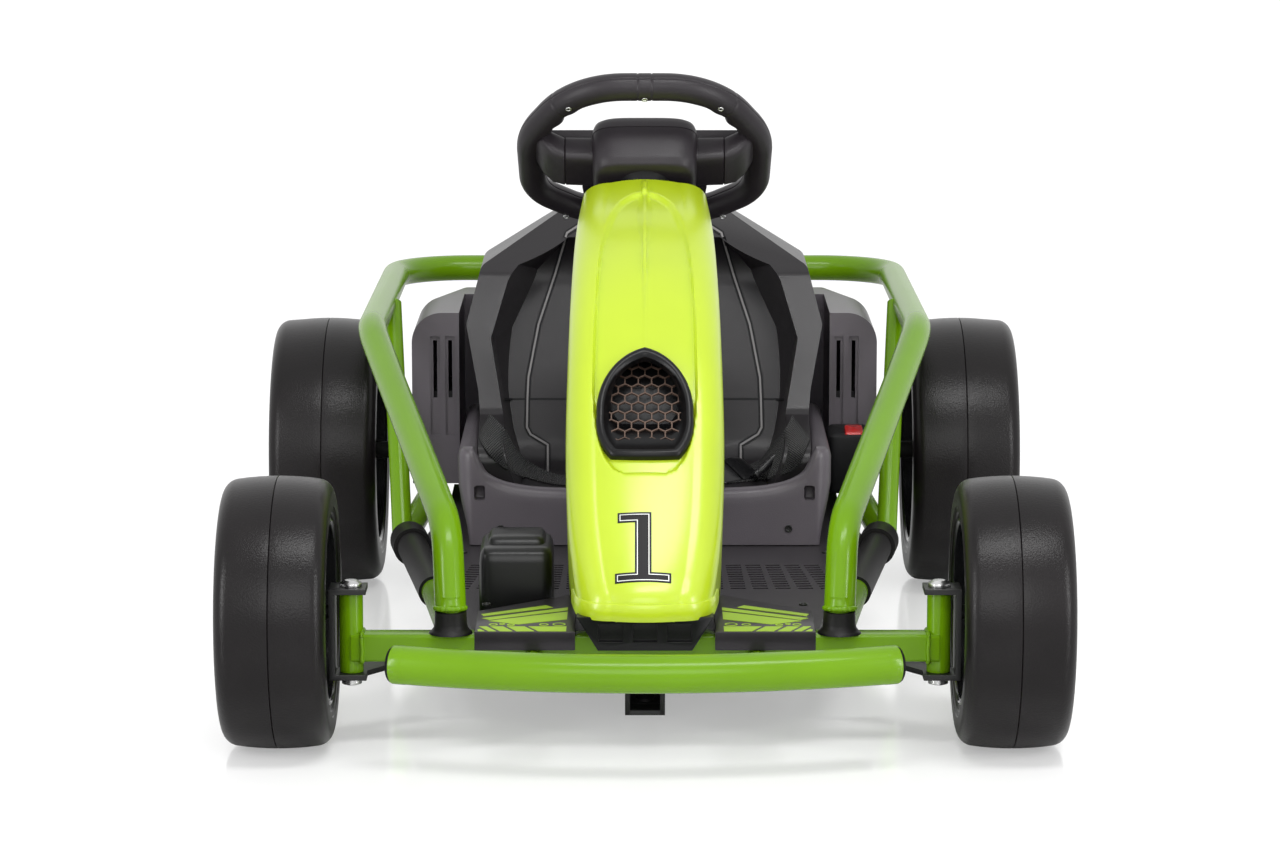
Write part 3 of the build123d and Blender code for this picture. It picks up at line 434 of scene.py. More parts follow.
def noseRelief(across, run):
    depth = -nose["sink"] * channelDepth(across, run)
    if run > 0.24:
        width, height = between(nose["rib"], run)
        flank = between(nose["flank"], run)[0]
        wide = abs(across)
        ridge = height * ease((width + 0.0008 - wide) / 0.0012)
        if flank > 0.0003:
            ridge = max(ridge, 0.45 * height * ease((flank - wide) / 0.0022))
        depth += ridge * ease((0.487 - run) / 0.006)
    return depth


def noseSkin(across, run, lift=0.0, plain=False):  # a point on the nose's face
    half, rise = between(nose["rows"], run)
    flat = half - nose["shoulder"]
    wide = abs(across)
    if wide <= flat:
        rise += nose["crown"] * (1 - (wide / flat) ** 2)
    else:
        rise -= nose["shoulder"] * (1 - sqrt(max(0.0, 1 - ((wide - flat) / nose["shoulder"]) ** 2)))
    return onColumn(across, run, rise + lift + (0 if plain else noseRelief(across, run)))


def nosePoint(u, v):
    first, last = nose["rows"][0][0], nose["rows"][-1][0]
    run = first + (last - first) * v
    half, rise = between(nose["rows"], run)
    bend, share = nose["shoulder"], nose["faceShare"]
    floorAt = nose["frontLow"] if run < nose["stepRun"] else nose["rearLow"]
    low = max(nose["under"], (floorAt - columnFoot.z - columnLine.z * run) / columnRise.z)
    turn = pi / 2 if low <= rise - bend else acos(max(-1, min(1, 1 - (rise - low) / bend)))
    drop = max(0.0, rise - bend - low)
    flat = half - bend
    t = 2 * u - 1
    sign = 1 if t > 0 else -1
    if abs(t) <= share:
        along = abs(t) / share * (flat + bend * turn)
        if along <= flat:
            across, height = along, rise + nose["crown"] * (1 - (along / flat) ** 2)
        else:
            angle = (along - flat) / bend
            across, height = flat + bend * sin(angle), rise - bend * (1 - cos(angle))
    else:
        across, height = flat + bend * sin(turn), rise - bend * (1 - cos(turn)) - drop * (abs(t) - share) / (1 - share)
    return onColumn(sign * across, run, height + noseRelief(across, run))


intake = {
    "rows": metres(  # half width, foot, top, lift off the nose's face, way back
        (39, 226, 304, -5, 0), (39, 226, 304, 0.6, 0), (38.4, 226.6, 303.4, 2, 0), (37.2, 227.8, 302.2, 2.9, 0),
        (35.2, 229.6, 300.6, 3, 0), (33.5, 231.1, 299, 2, 0), (32.4, 232.3, 297.7, 0, 0), (30.2, 237.6, 295.6, 0, 6),
        (27.5, 243.8, 292.4, 0, 12), (26.8, 244.6, 291.8, 0, 34),
    ),
}


def intakeOutline(half, low, high):  # across and height, once round
    tall = high - low
    foot, turn, top = (0.7 * half, low), (half, low + 0.36 * tall), (0.0, high)
    right = arcThrough(foot, (0.91 * half, low + 0.12 * tall), turn, 14)
    right += arcThrough(turn, (0.75 * half, low + 0.77 * tall), top, 30)
    sill = [(0.7 * half * (i / 12 * 2 - 1), low) for i in range(1, 13)]
    left = [(-x, z) for x, z in reversed(right[:-1])] + [(-foot[0], low)]
    return sill + right + left


def runAt(across, height):  # the run at which the nose's face reaches a height
    low, high = 0.05, 0.45
    for _ in range(24):
        middle = (low + high) / 2
        if noseSkin(across, middle, plain=True).z < height:
            low = middle
        else:
            high = middle
    return low


def insideIntake(x, z, outline):
    inside = False
    for (ax, az), (bx, bz) in zip(outline, outline[1:] + outline[:1]):
        if (az > z) != (bz > z) and x < ax + (z - az) * (bx - ax) / (bz - az):
            inside = not inside
    return inside


shellGrid = shapedGrid(176, 236, nosePoint)
hole = intakeOutline(*intake["rows"][3][:3])
dropFaces(shellGrid, lambda centre, normal: abs(centre.x) < 0.04 and 0.22 < centre.z < 0.31 and centre.y < -0.2
          and insideIntake(centre.x, centre.z, hole))
inEdit(shellGrid, bpy.ops.mesh.normals_make_consistent)
middleFace = max(shellGrid.data.polygons, key=lambda face: face.center.dot(columnRise))
if middleFace.normal.dot(columnRise) < 0:
    inEdit(shellGrid, bpy.ops.mesh.flip_normals)
shellGrid.data.materials.append(nosePaint)
# The shell's inner wall takes the dark lime, painted shade inside the shell
shellGrid.data.materials.append(noseShadedInside)
applyModifier(shellGrid, "SOLIDIFY", thickness=nose["wall"], offset=-1, material_offset=1)
finishPiece(shellGrid, "noseShell", None, "chassis", 50, ["nose_shell"])

# The bezel closes into a cup behind the mesh; the cup's extra-dark black is painted shade for the hollow behind the
# intake
spots = []
for row in intake["rows"]:
    spots.append([noseSkin(x, runAt(x, z), row[3], True) + Vector((0, row[4], 0)) for x, z in intakeOutline(*row[:3])])
spots.append([sum(spots[-1], Vector()) / len(spots[-1])] * len(spots[0]))
bezel = loftRings(spots, False)
finishPiece(bezel, "intakeBezel", deepBlack, "chassis", 40, ["intake_bezel"])


# The plain number on the nose: stem, flag and foot as left, right, low and high
numeral = {
    "boxes": [(-0.008, 0.005, 0.03, 0.092), (-0.0217, 0.005, 0.083, 0.092), (-0.0236, 0.0205, 0.03, 0.0388)],
    "layers": [(0.0, 0.00025, decalDark), (0.0016, 0.0004, decalWhite), (0.0023, 0.00055, decalDark)],
}


def spread(stops, pace):  # stops with even steps between them
    stops = sorted(set(stops))
    filled = []
    for low, high in zip(stops, stops[1:]):
        count = max(1, int((high - low) / pace))
        filled += [low + (high - low) * i / count for i in range(count)]
    return filled + [stops[-1]]


def noseDecal(name, boxes, lift, material):  # a thin patch of boxes that follows the nose's face
    stopsX = spread([x for box in boxes for x in box[:2]], 0.003)
    stopsRun = spread([run for box in boxes for run in box[2:]], 0.003)

    def place(u, v):
        return Vector((stopsX[round(u * (len(stopsX) - 1))], stopsRun[round(v * (len(stopsRun) - 1))], 0))
    piece = shapedGrid(len(stopsX) - 1, len(stopsRun) - 1, place)

    def outside(centre, normal):
        return not any(box[0] < centre.x < box[1] and box[2] < centre.y < box[3] for box in boxes)
    dropFaces(piece, outside)
    for point in piece.data.vertices:
        point.co = noseSkin(point.co.x, point.co.y, lift)
    applyModifier(piece, "SOLIDIFY", thickness=0.0002, offset=0)
    finishPiece(piece, name, material, angle=30)


for layer, (inset, lift, material) in enumerate(numeral["layers"]):
    boxes = [(left + inset, right - inset, low + inset, high - inset) for left, right, low, high in numeral["boxes"]]
    noseDecal(f"numeralLayer{layer}", boxes, lift, material)
print("Nose is made")

# Steering wheel
helm = {
    "run": 0.548, "tube": 0.012, "pace": 0.001,
    "rim": metres(  # across, rise and bend of each corner on the right half
        (60, 79, 75), (100.5, 10, 75), (98.5, -70, 40), (52, -103, 60),
    ),
    "seamWide": 0.0008, "seamDeep": 0.0007, "crossSeams": (0.006, 0.072), "crossWide": 0.0011, "crossDeep": 0.0006,
    "waveStart": 0.018, "waveEnd": 0.074, "waveDeep": 0.0016, "waveAcross": 0.04,
    "hub": metres(  # run, half width, low and high rise
        (498, 40, -22.5, 32), (500, 42.5, -24.5, 34.5), (508, 45, -25.5, 36.5), (534, 46.2, -26, 38.5),
        (535.2, 46.2, -26, 38.5), (535.8, 45.2, -25, 37.5), (536.4, 46.2, -26, 38.5), (541, 46, -25.5, 38.2),
        (546, 44.5, -24, 36.5), (549, 41.5, -21, 33.5), (550.5, 36, -16, 28), (551.2, 20, -8, 15),
    ),
    "arm": metres(  # across, low and high run, low and high rise
        (40, 513, 541, -23, 20), (68.5, 515, 541, -24, 20.5), (69.2, 516, 540, -23, 19.5),
        (69.9, 515, 541, -24, 20.5), (80, 519, 545, -25.5, 22.5), (88, 527, 550, -24, 22), (97, 540, 553, -14, 12),
    ),
    "web": metres(  # rise, half width
        (14, 94), (-18, 96), (-32, 93), (-37, 78), (-43, 61), (-60, 55), (-101, 56),
    ),
    "webRun": 0.545, "webWall": 0.012,
}

rimCorners = [row[:2] for row in helm["rim"]] + [(-x, y) for x, y, _ in reversed(helm["rim"])]
rimBends = [row[2] for row in helm["rim"]] + [row[2] for row in reversed(helm["rim"])]
rimPath = roundedPath(rimCorners, rimBends, helm["pace"])
rimTurns = [2 * pi * i / 44 for i in range(44)]
rimTurns += [side * pi + step for side in (0, 1) for step in (-0.09, -0.045, 0.045, 0.09)]
rimTurns = sorted(turn % (2 * pi) for turn in rimTurns)


def rimPoint(u, v):
    count = len(rimPath)
    index = round(v * count) % count
    spot = rimPath[index]
    line = (rimPath[(index + 1) % count] - rimPath[index - 1]).normalized()
    outward = Vector((line.y, -line.x))
    if outward.dot(spot - Vector((0, -0.01))) < 0:
        outward = -outward
    turn = rimTurns[round(u * len(rimTurns)) % len(rimTurns)]
    size = helm["tube"]
    nearSeam = min(abs(sin(turn)) * size, 1)
    size -= helm["seamDeep"] * ease(1 - nearSeam / helm["seamWide"])
    if spot.y > 0:
        for seam in helm["crossSeams"]:
            size -= helm["crossDeep"] * ease(1 - abs(abs(spot.x) - seam) / helm["crossWide"])
    if helm["waveStart"] < spot.y < helm["waveEnd"] and cos(turn) < 0 and abs(spot.x) > helm["waveAcross"]:
        share = (spot.y - helm["waveStart"]) / (helm["waveEnd"] - helm["waveStart"])
        size += helm["waveDeep"] * cos(turn) ** 2 * sin(share * 6 * pi) * sin(share * pi)
    spot = spot + outward * cos(turn) * size
    return onColumn(spot.x, helm["run"] + sin(turn) * size, spot.y)


rim = shapedGrid(len(rimTurns), len(rimPath), rimPoint)
finishPiece(rim, "wheelRim", wheelGrip, "steering", 50, ["steering_wheel"])


hubRows = helm["hub"]
hubRings = [boxRing(half, (high - low) / 2, 4.5, 96, lambda x, y: onColumn(x, run, y + (high + low) / 2))
            for run, half, low, high in hubRows]
hubRings = [[onColumn(0, hubRows[0][0], 0.005)] * 96] + hubRings + [[onColumn(0, hubRows[-1][0] + 0.0002, 0.005)] * 96]
finishPiece(loftRings(hubRings, False), "wheelHub", wheelGrip, "steering", 40, ["wheel_cover"])

for side, name in ((1, "spokeLeft"), (-1, "spokeRight")):
    rings = []
    for across, runLow, runHigh, low, high in helm["arm"]:
        rings.append(boxRing((runHigh - runLow) / 2, (high - low) / 2, 5, 56, lambda x, y: onColumn(
            side * across, x + (runLow + runHigh) / 2, y + (low + high) / 2)))
    finishPiece(loftRings(rings), name, wheelGrip, "steering")


def webPoint(u, v):
    first, last = -helm["web"][0][0], -helm["web"][-1][0]
    down = first + (last - first) * v
    half = between([(-rise, half) for rise, half in helm["web"]], down)[0]
    return onColumn((2 * u - 1) * half, helm["webRun"], -down)


web = shapedGrid(24, 46, webPoint)
applyModifier(web, "SOLIDIFY", thickness=helm["webWall"], offset=0)
roundEdges(web, 0.003, 50)
finishPiece(web, "wheelWeb", wheelGrip, "steering")

# Small bright screws that close the rim's halves, on the side that faces the nose
screwSpots = metres((0, 79.5), (65.5, 66), (-65.5, 66), (70, -94.5), (-70, -94.5))
screws = []
for across, rise in screwSpots:
    spot = onColumn(across, helm["run"] - 0.0112, rise - 0.003)
    screws.append(addBolt(spot, columnLine * -1, 0.0026, 0.0016))
finishPiece(joinPieces(screws), "rimScrews", brightSteel, "steering")

# Raised pad on the driver's side of the hub
padRows = metres(  # run, half width, half height
    (548.5, 42, 33), (553, 42, 33), (555, 40.8, 31.8), (556.3, 38, 29), (556.8, 30, 21),
)
rings = [boxRing(halfX, halfY, 5, 72, lambda x, y: onColumn(x, run, y - 0.03)) for run, halfX, halfY in padRows]
finishPiece(loftRings(rings), "wheelPad", flatBlack, "steering")
screws = [addBolt(onColumn(x, 0.5512, y), columnLine, 0.0028, 0.0016) for x in (-0.049, 0.049) for y in (-0.02, -0.084)]
finishPiece(joinPieces(screws), "hubScrews", darkSteel, "steering")

# Dark collar and boot under the hub
collarRows = metres((484, 12.5), (486, 16.5), (492, 17.5), (498.5, 23.5))
collar = loftRings([roundRing(onColumn(0, run, 0.002), acrossLine, columnRise, size, 40) for run, size in collarRows])
finishPiece(collar, "hubCollar", flatBlack, "steering")
print("Steering wheel is made")

# Tyres and rims, all turned round their axles
tyres = {
    "front": {"x": 0.29, "radius": 0.108, "half": 0.043, "rim": 0.074, "y": 0.0},
    "rear": {"x": 0.296, "radius": 0.1245, "half": 0.049, "rim": 0.088, "y": 0.64},
    "shoulder": 0.0125, "crown": 0.0022, "segments": 160, "boltRing": 0.03,
    "bead": metres(  # inset from the side, and rise from the rim
        (4.5, 0), (3, 1.2), (2.6, 4), (1.2, 5.2), (0.6, 8), (0.6, 8.8), (0.1, 9.5), (0.2, 13),
    ),
    "lip": metres(  # across and radius, from the rim's edge
        (-4, -0.8), (-2, 0.2), (1, 0.8), (3, 0.2), (3.6, -1.8), (2, -3.4), (-1, -4), (-4, -4.8),
    ),
}


def tyreRows(half, radius, rim):
    bend, crown = tyres["shoulder"], tyres["crown"]
    side = [(half - inset, rim + rise) for inset, rise in tyres["bead"]] + [(half, radius - crown - bend)]
    for step in range(1, 9):
        angle = step / 8 * radians(84)
        side.append((half - bend * (1 - cos(angle)), radius - crown - bend + bend * sin(angle)))
    for across in (0.024, 0.016, 0.008, 0.0012):
        side.append((across, radius - crown * (across / 0.032) ** 2))
    side.append((0.0005, radius - 0.0001))
    return side + [(0.0, radius - 0.0009)] + [(-x, r) for x, r in reversed(side)]


for end in ("front", "rear"):
    part = tyres[end]
    axleY = part["y"] + frontAxleY
    for side, sign in (("left", 1), ("right", -1)):
        middle = Vector((sign * part["x"], axleY, part["radius"]))
        rows = tyreRows(part["half"], part["radius"], part["rim"])
        tyre = ringPiece(rows + [rows[0]], middle, tyres["segments"])
        body, label = f"wheel_{end}_{side}", end.capitalize() + side.capitalize()
        finishPiece(tyre, "tyre" + label, tyreRubber, body, 28, [f"tyre_{end}_{side}"])
        lips = []
        for face in (1, -1):
            lip = [(face * (part["half"] - 0.0052 + x), part["rim"] + r) for x, r in tyres["lip"]]
            lips.append(ringPiece(lip + [lip[0]], middle, 128))
        finishPiece(joinPieces(lips), "rimLips" + label, glossBlack, body)
        bolts = []
        for index in range(6):
            turn = 2 * pi * (index + 0.5) / 6
            reach = tyres["boltRing"]
            spot = middle + Vector((sign * 0.006, reach * cos(turn), reach * sin(turn)))
            bolts.append(addBolt(spot, Vector((sign, 0, 0)), 0.0045, 0.004))
        finishPiece(joinPieces(bolts), "rimBolts" + label, darkSteel, body)
print("Tyres and rims are made")

def inKart(x, y, z):  # millimetres, with y from the front axle
    return Vector((x / 1000, y / 1000 + frontAxleY, z / 1000))


eye = Vector((-0.004, -3.57005, 0.8102))  # the camera's place


def seenOn(target, spot):  # where the line from the eye through a spot meets a surface
    hit, where, normal, _ = target.ray_cast(eye, (spot - eye).normalized())
    return (where, normal) if hit else (spot, Vector((0, -1, 0)))


def bandOn(target, spots, width, lift, pace=0.004):  # a raised band along spots, laid on a surface
    stepped = []
    for low, high in zip(spots, spots[1:]):
        count = max(1, int((high - low).length / pace))
        stepped += [low.lerp(high, i / count) for i in range(count)]
    stepped.append(spots[-1])
    shares = [(-0.5, -0.0006), (-0.44, 1), (0, 1.1), (0.44, 1), (0.5, -0.0006)]

    def place(u, v):
        index = round(v * (len(stepped) - 1))
        share, height = shares[round(u * (len(shares) - 1))]
        line = stepped[min(index + 1, len(stepped) - 1)] - stepped[max(index - 1, 0)]
        side = Vector((line.z, 0, -line.x)).normalized()
        where, normal = seenOn(target, stepped[index] + side * share * width)
        return where + normal * (lift if height > 0 else -0.0005)
    return shapedGrid(len(shares) - 1, len(stepped) - 1, place)


# Folded lip round the nose's lower end
lipRows = metres(
    (124.5, -1), (124, 0.8), (122.8, 1.6), (117, 1.8), (112.8, 1.4), (109.8, 0.4), (109.4, -4), (115, -4.2),
    (123.5, -3.4),
)
noseShell = bpy.data.objects["noseShell"]
lipMiddle = inKart(0, 40, 0)
lipRings = []
for index in range(97):
    turn = radians(-64 + 128 * index / 96)
    line = Vector((sin(turn), -cos(turn), 0))
    start = Vector((lipMiddle.x, lipMiddle.y, 0.1245)) + line * 0.3
    hit, where, normal, _ = noseShell.ray_cast(start, line * -1)
    flatNormal = Vector((normal.x, normal.y, 0)).normalized()
    lipRings.append([Vector((where.x, where.y, height)) + flatNormal * proud for height, proud in lipRows])
finishPiece(loftRings(lipRings), "noseLip", nosePaint)

# Pointed cells of the intake's mesh
cells = {
    "pitch": 0.0108, "wall": 0.001, "depth": 0.0016,
    "middle": (0, 84, 265), "halfAcross": 0.036, "halfTall": 0.046, "lean": 40.5,
}
clearSelection()
bpy.ops.mesh.primitive_circle_add(vertices=6, radius=cells["pitch"] / sqrt(3), fill_type="NGON")
cell = bpy.context.object
pickFaces(cell, lambda centre, normal: True)
bpy.ops.mesh.inset(thickness=cells["wall"] / 2)
bpy.ops.mesh.delete(type="FACE")
bpy.ops.object.mode_set(mode="OBJECT")
copies = []
for row in range(-5, 6):
    for column in range(-4, 5):
        across = (column + 0.5 * (row % 2)) * cells["pitch"]
        tall = row * cells["pitch"] * sqrt(3) / 2
        if abs(across) < cells["halfAcross"] - max(0, tall) * 0.35 and abs(tall) < cells["halfTall"]:
            made = cell.copy()
            made.data = cell.data.copy()
            bpy.context.scene.collection.objects.link(made)
            made.location = (across, tall, 0)
            copies.append(made)
bpy.data.objects.remove(cell)
grille = joinPieces(copies)
settle(grille)
inEdit(grille, lambda: bpy.ops.mesh.remove_doubles(threshold=0.0001))
applyModifier(grille, "SOLIDIFY", thickness=cells["depth"], offset=0)
grille.rotation_euler = (radians(cells["lean"]), 0, 0)
grille.location = inKart(*cells["middle"])
finishPiece(grille, "intakeMesh", bronzeMesh, "chassis", 30, ["intake_mesh"])

# Seat base: one moulded wall that rolls over at its top, low in the middle
cradle = {
    "half": 166.0, "front": 400.0, "rear": 645.0, "bend": 15.0, "foot": 81.0, "taper": 12.0, "taperTop": 137.0, 
    "top": [  # across and height
        (0, 130.5), (74, 131.5), (111, 134.5), (133, 141), (142, 148), (146.5, 157), (150.5, 165.5), (156, 168.5),
        (400, 168.5),
    ],
    "wallShares": (0, 0.12, 0.3, 0.5, 0.7, 0.86, 1.0),
    "roll": [  # inwards, and from the top
        (0.7, -5.6), (2.3, -2.7), (5.2, -0.8), (8.6, 0), (12.2, -0.7), (15, -3.2), (16.4, -8), (16.5, -22),
    ],
    "slot": (9.6, 20.0, 13.6), "slotAt": (146.4, 401.0, 128.0),
}


def cradlePath():
    half, front, bend = cradle["half"], cradle["front"], cradle["bend"]
    right = [(x, front, 0, 1) for x in [*range(0, 100, 8), *range(100, int(half - bend), 3), half - bend]]
    for angle in range(10, 91, 10):
        s, c = sin(radians(angle)), cos(radians(angle))
        right.append((half - bend + bend * s, front + bend - bend * c, -s, c))
    right += [(half, y, -1, 0) for y in range(int(front + bend) + 12, int(cradle["rear"]) + 1, 18)]
    return [(-x, y, -nx, ny) for x, y, nx, ny in reversed(right[1:])] + right


cradleRings = []
for x, y, inX, inY in cradlePath():
    top = between(cradle["top"], abs(x))[0] if y <= cradle["front"] + 0.01 else cradle["top"][-1][1]
    foot = cradle["foot"]
    section = [(0, foot + share * (top - 9 - foot)) for share in cradle["wallShares"]]
    section += [(inward, top + fall) for inward, fall in cradle["roll"]] + [(9, foot + 20), (5, foot)]
    ring = []
    for inward, height in section:
        share = max(0.0, (cradle["taperTop"] - height) / (cradle["taperTop"] - foot))
        shift = cradle["taper"] * abs(inX) * share ** 1.3
        ring.append(inKart(x + inX * (inward + shift), y + inY * inward, height))
    cradleRings.append(ring)
seatBase = loftRings(cradleRings)
inEdit(seatBase, bpy.ops.mesh.normals_make_consistent)
for side in (1, -1):
    clearSelection()
    x, y, z = cradle["slotAt"]
    bpy.ops.mesh.primitive_cube_add(size=1, location=inKart(side * x, y, z), scale=metres(cradle["slot"])[0])
    cutter = bpy.context.object
    settle(cutter)
    roundEdges(cutter, 0.0025, 30)
    applyModifier(seatBase, "BOOLEAN", operation="DIFFERENCE", solver="EXACT", object=cutter)
    bpy.data.objects.remove(cutter)
finishPiece(seatBase, "seatBaseShell", baseGrey, "chassis", 35, ["seat_base"])
clearSelection()
bpy.ops.mesh.primitive_cube_add(size=1, location=inKart(0, 522, 98), scale=(0.3, 0.225, 0.004))
tray = bpy.context.object
settle(tray)
applyModifier(tray, "BEVEL", width=0.001, segments=2)
finishPiece(tray, "seatBaseTray", flatBlack, angle=35)

# Pad's inlaid line and the crease where the back meets the base
seatSkin = copyNode("seat", charcoal)
inlay = {
    "spots": [
        (0, 700, 331), (30, 700, 331), (62, 700, 330), (73.5, 700, 322.5), (85.3, 700, 282), (100.8, 700, 235),
        (110.7, 700, 184), (111.7, 700, 165), (109.6, 600, 152.6), (106.2, 600, 146), (90.2, 600, 136),
        (90.3, 600, 105),
    ],
    "crease": [(60, 172.8), (100, 172.8), (132, 172.6)],
    "darkWidth": 0.0062, "lightWidth": 0.002, "creaseWidth": 0.0022,
}
for side, name in ((1, "Left"), (-1, "Right")):
    spots = [inKart(side * x, y, z) for x, y, z in inlay["spots"]]
    crease = [inKart(side * x, 640, z) for x, z in inlay["crease"]]
    for band, line, width, lift, material in (
        ("inlayEdge", spots, inlay["darkWidth"], 0.0003, flatBlack),
        ("inlayLine", spots, inlay["lightWidth"], 0.0007, inlayGrey),
        ("seatCrease", crease, inlay["creaseWidth"], 0.0003, flatBlack),
    ):
        finishPiece(bandOn(seatSkin, line, width, lift), band + name, material, angle=35)

# Lap belt: flat webbing laid between two edges, and its buckles
belts = {
    "left": [  # front edge and back edge, in the seat from the driver's right to the middle
        ((-150, 480, 166), (-141, 514, 180)), ((-145.4, 476, 156.5), (-129, 514, 167)),
        ((-133.7, 472, 142.5), (-119.5, 511, 151)), ((-117.5, 470, 132.5), (-107.7, 508, 138.5)),
        ((-94.9, 470, 125.2), (-90.4, 508, 128)), ((-75, 470, 121.6), (-72, 508, 123)),
        ((-40, 470, 120.2), (-38, 508, 120.2)), ((-24, 470, 120.2), (-23, 508, 120.2)),
    ],
    "right": [
        ((150, 480, 163), (135, 514, 178)), ((145.4, 476, 153.5), (127, 514, 163)),
        ((139, 472, 139.5), (115, 511, 149.5)),
        ((122, 470, 130.5), (105, 508, 138)), ((98, 470, 125.5), (88, 508, 131)), ((72, 470, 123), (72, 508, 125)),
        ((40, 470, 120.4), (38, 508, 120.6)), ((24, 470, 120.2), (23, 508, 120.2)),
    ],
    "wall": 0.0018, "lift": 0.006, "steps": (12, 90),
}


def beltSpot(rows, u, v):
    table = [(index, *low, *high) for index, (low, high) in enumerate(rows)]
    lowX, lowY, lowZ, highX, highY, highZ = between(table, v * (len(rows) - 1))
    crown = 0.8 * sin(pi * u)
    return inKart(lowX + (highX - lowX) * u, lowY + (highY - lowY) * u, lowZ + (highZ - lowZ) * u + crown)


def layBelt(rows, across, along, lift):  # points of a belt that lies on the seat
    lines, ways = [], []
    for j in range(along + 1):
        lines.append([(beltSpot(rows, i / across, j / along) - eye).normalized() for i in range(across + 1)])
        ways.append([])
        for i, line in enumerate(lines[-1]):
            hit, where, _, _ = seatSkin.ray_cast(eye, line)
            ways[-1].append((where - eye).length if hit else (beltSpot(rows, i / across, j / along) - eye).length)
    for _ in range(6):
        for _ in range(2):  # along, then across
            ways = [[(row[max(i - 1, 0)] + 2 * row[i] + row[min(i + 1, len(row) - 1)]) / 4 for i in range(len(row))]
                    for row in zip(*ways)]
    return [[eye + line * (way - lift) for line, way in zip(*pair)] for pair in zip(lines, ways)]


laid = {}
across, along = belts["steps"]
for name, node in (("left", "lap_belt_right"), ("right", "lap_belt_left")):
    laid[name] = layBelt(belts[name], across, along, belts["lift"])
    belt = shapedGrid(across, along, lambda u, v: laid[name][round(v * along)][round(u * across)])
    applyModifier(belt, "SOLIDIFY", thickness=belts["wall"], offset=0)
    finishPiece(belt, f"webbing{name.capitalize()}", webbing, "chassis", 40, [node])


def layOn(piece, origin, along, facing):  # turns a piece made flat at the origin to lie along a belt
    along = along.normalized()
    normal = (facing - along * facing.dot(along)).normalized()
    across = normal.cross(along)
    for point in piece.data.vertices:
        x, y, z = point.co
        point.co = origin + along * x + across * y + normal * z


def boxRings(rows):  # sections along x: place, half width, low and high
    return [boxRing(half, (high - low) / 2, 6, 40, lambda y, z: Vector((place, y, z + (low + high) / 2)))
            for place, half, low, high in rows]


rightBelt = laid["right"]
clipRows = metres(
    (-24, 12.5, 0.8, 6.5), (-22.5, 15, -0.2, 7.8), (-6, 16.2, -0.4, 8.6), (-4.5, 16.2, -0.4, 8.6), (-4, 14, 0.6, 7),
    (-3, 14, 0.6, 7), (-2.5, 17, -0.4, 9.2), (6, 17.8, -0.4, 9.4), (16, 16.5, -0.4, 8.6), (21, 15, -0.2, 7.4),
    (22.5, 13, 0.6, 6.2),
)
clip = loftRings(boxRings(clipRows))
layOn(clip, rightBelt[60][6] + Vector((0, -0.003, 0.001)), rightBelt[50][6] - rightBelt[70][6], Vector((0, -0.6, 0.8)))
finishPiece(clip, "sideReleaseBuckle", glossPlastic, stands=["belt_buckle"])
bars = []
barRows = metres((-14, 21.5, 0.4, 7.4, 3.6), (14, 21.5, 0.4, 7.4, 3.6), (0, 19, 2.2, 7.4, 3.4))
for place, half, low, high, size in barRows:
    ends = [(half - 0.001, low + 0.001, high - 0.001), (half, low, high)]
    rows = [(place + size * share, *ends[end]) for share, end in ((-1, 0), (-0.8, 1), (0.8, 1), (1, 0))]
    bars.append(loftRings(boxRings(rows)))
railRows = metres((-17.5, 2.6, 1, 7.2), (-17, 3.4, 0.4, 8), (17, 3.4, 0.4, 8), (17.5, 2.6, 1, 7.2))
for side in (1, -1):
    rail = loftRings(boxRings(railRows))
    for point in rail.data.vertices:
        point.co.y += side * 0.021
    bars.append(rail)
ladder = joinPieces(bars)
for point in ladder.data.vertices:
    point.co *= 0.8
layOn(ladder, rightBelt[38][6] + Vector((0, -0.005, 0.002)), rightBelt[28][6] - rightBelt[46][6],
      Vector((-0.25, -0.7, 0.65)))
finishPiece(ladder, "ladderBuckle", glossPlastic)

# Pedal in two tiers
pedalRows = [  # height, half width, low and high y
    ("pedalBody", [(80.3, 30.5, 112, 189), (124, 30.2, 112.5, 189), (130.5, 29.6, 113.8, 188.6),
                   (133.8, 28, 116.5, 187.6), (135.3, 25.4, 120.5, 186)]),
    ("pedalPad", [(128, 25.2, 133, 185), (135.5, 23.8, 135, 184.5), (138.6, 22.6, 137, 183.5),
                  (140.4, 20.8, 139.5, 181.5), (141, 18.6, 142.5, 179)]),
]
for name, rows in pedalRows:
    rings = [boxRing(half, (high - low) / 2, 9, 64, lambda x, y: inKart(x - 106, (low + high) / 2 + y, height))
             for height, half, low, high in rows]
    finishPiece(loftRings(rings), name, pedalBlack, stands=["pedal"] if name == "pedalBody" else [])

# Switch box with its red rocker
# Height, half width and half length
caseRows = [(106, 18.5, 31), (108, 19.5, 32), (154, 19.8, 32), (158, 19, 31.4), (160, 16.5, 29)]
rings = [boxRing(halfX, halfY, 8, 56, lambda x, y: inKart(188 + x, 546 + y, height))
         for height, halfX, halfY in caseRows]
finishPiece(loftRings(rings), "switchCase", flatBlack, stands=["switch_box"])
rockerRows = [(159.4, 8.5, 12.5, 0), (161, 8.5, 12.5, 0.4), (163.2, 8, 11.8, 1.6), (163.8, 7, 10.5, 1.6)]
rings = [boxRing(halfX, halfY, 8, 40, lambda x, y: inKart(192 + x, 530 + y, height + tip * y / halfY))
         for height, halfX, halfY, tip in rockerRows]
finishPiece(loftRings(rings), "rockerSwitch", rockerRed)
print("Seat, belts and controls are made")


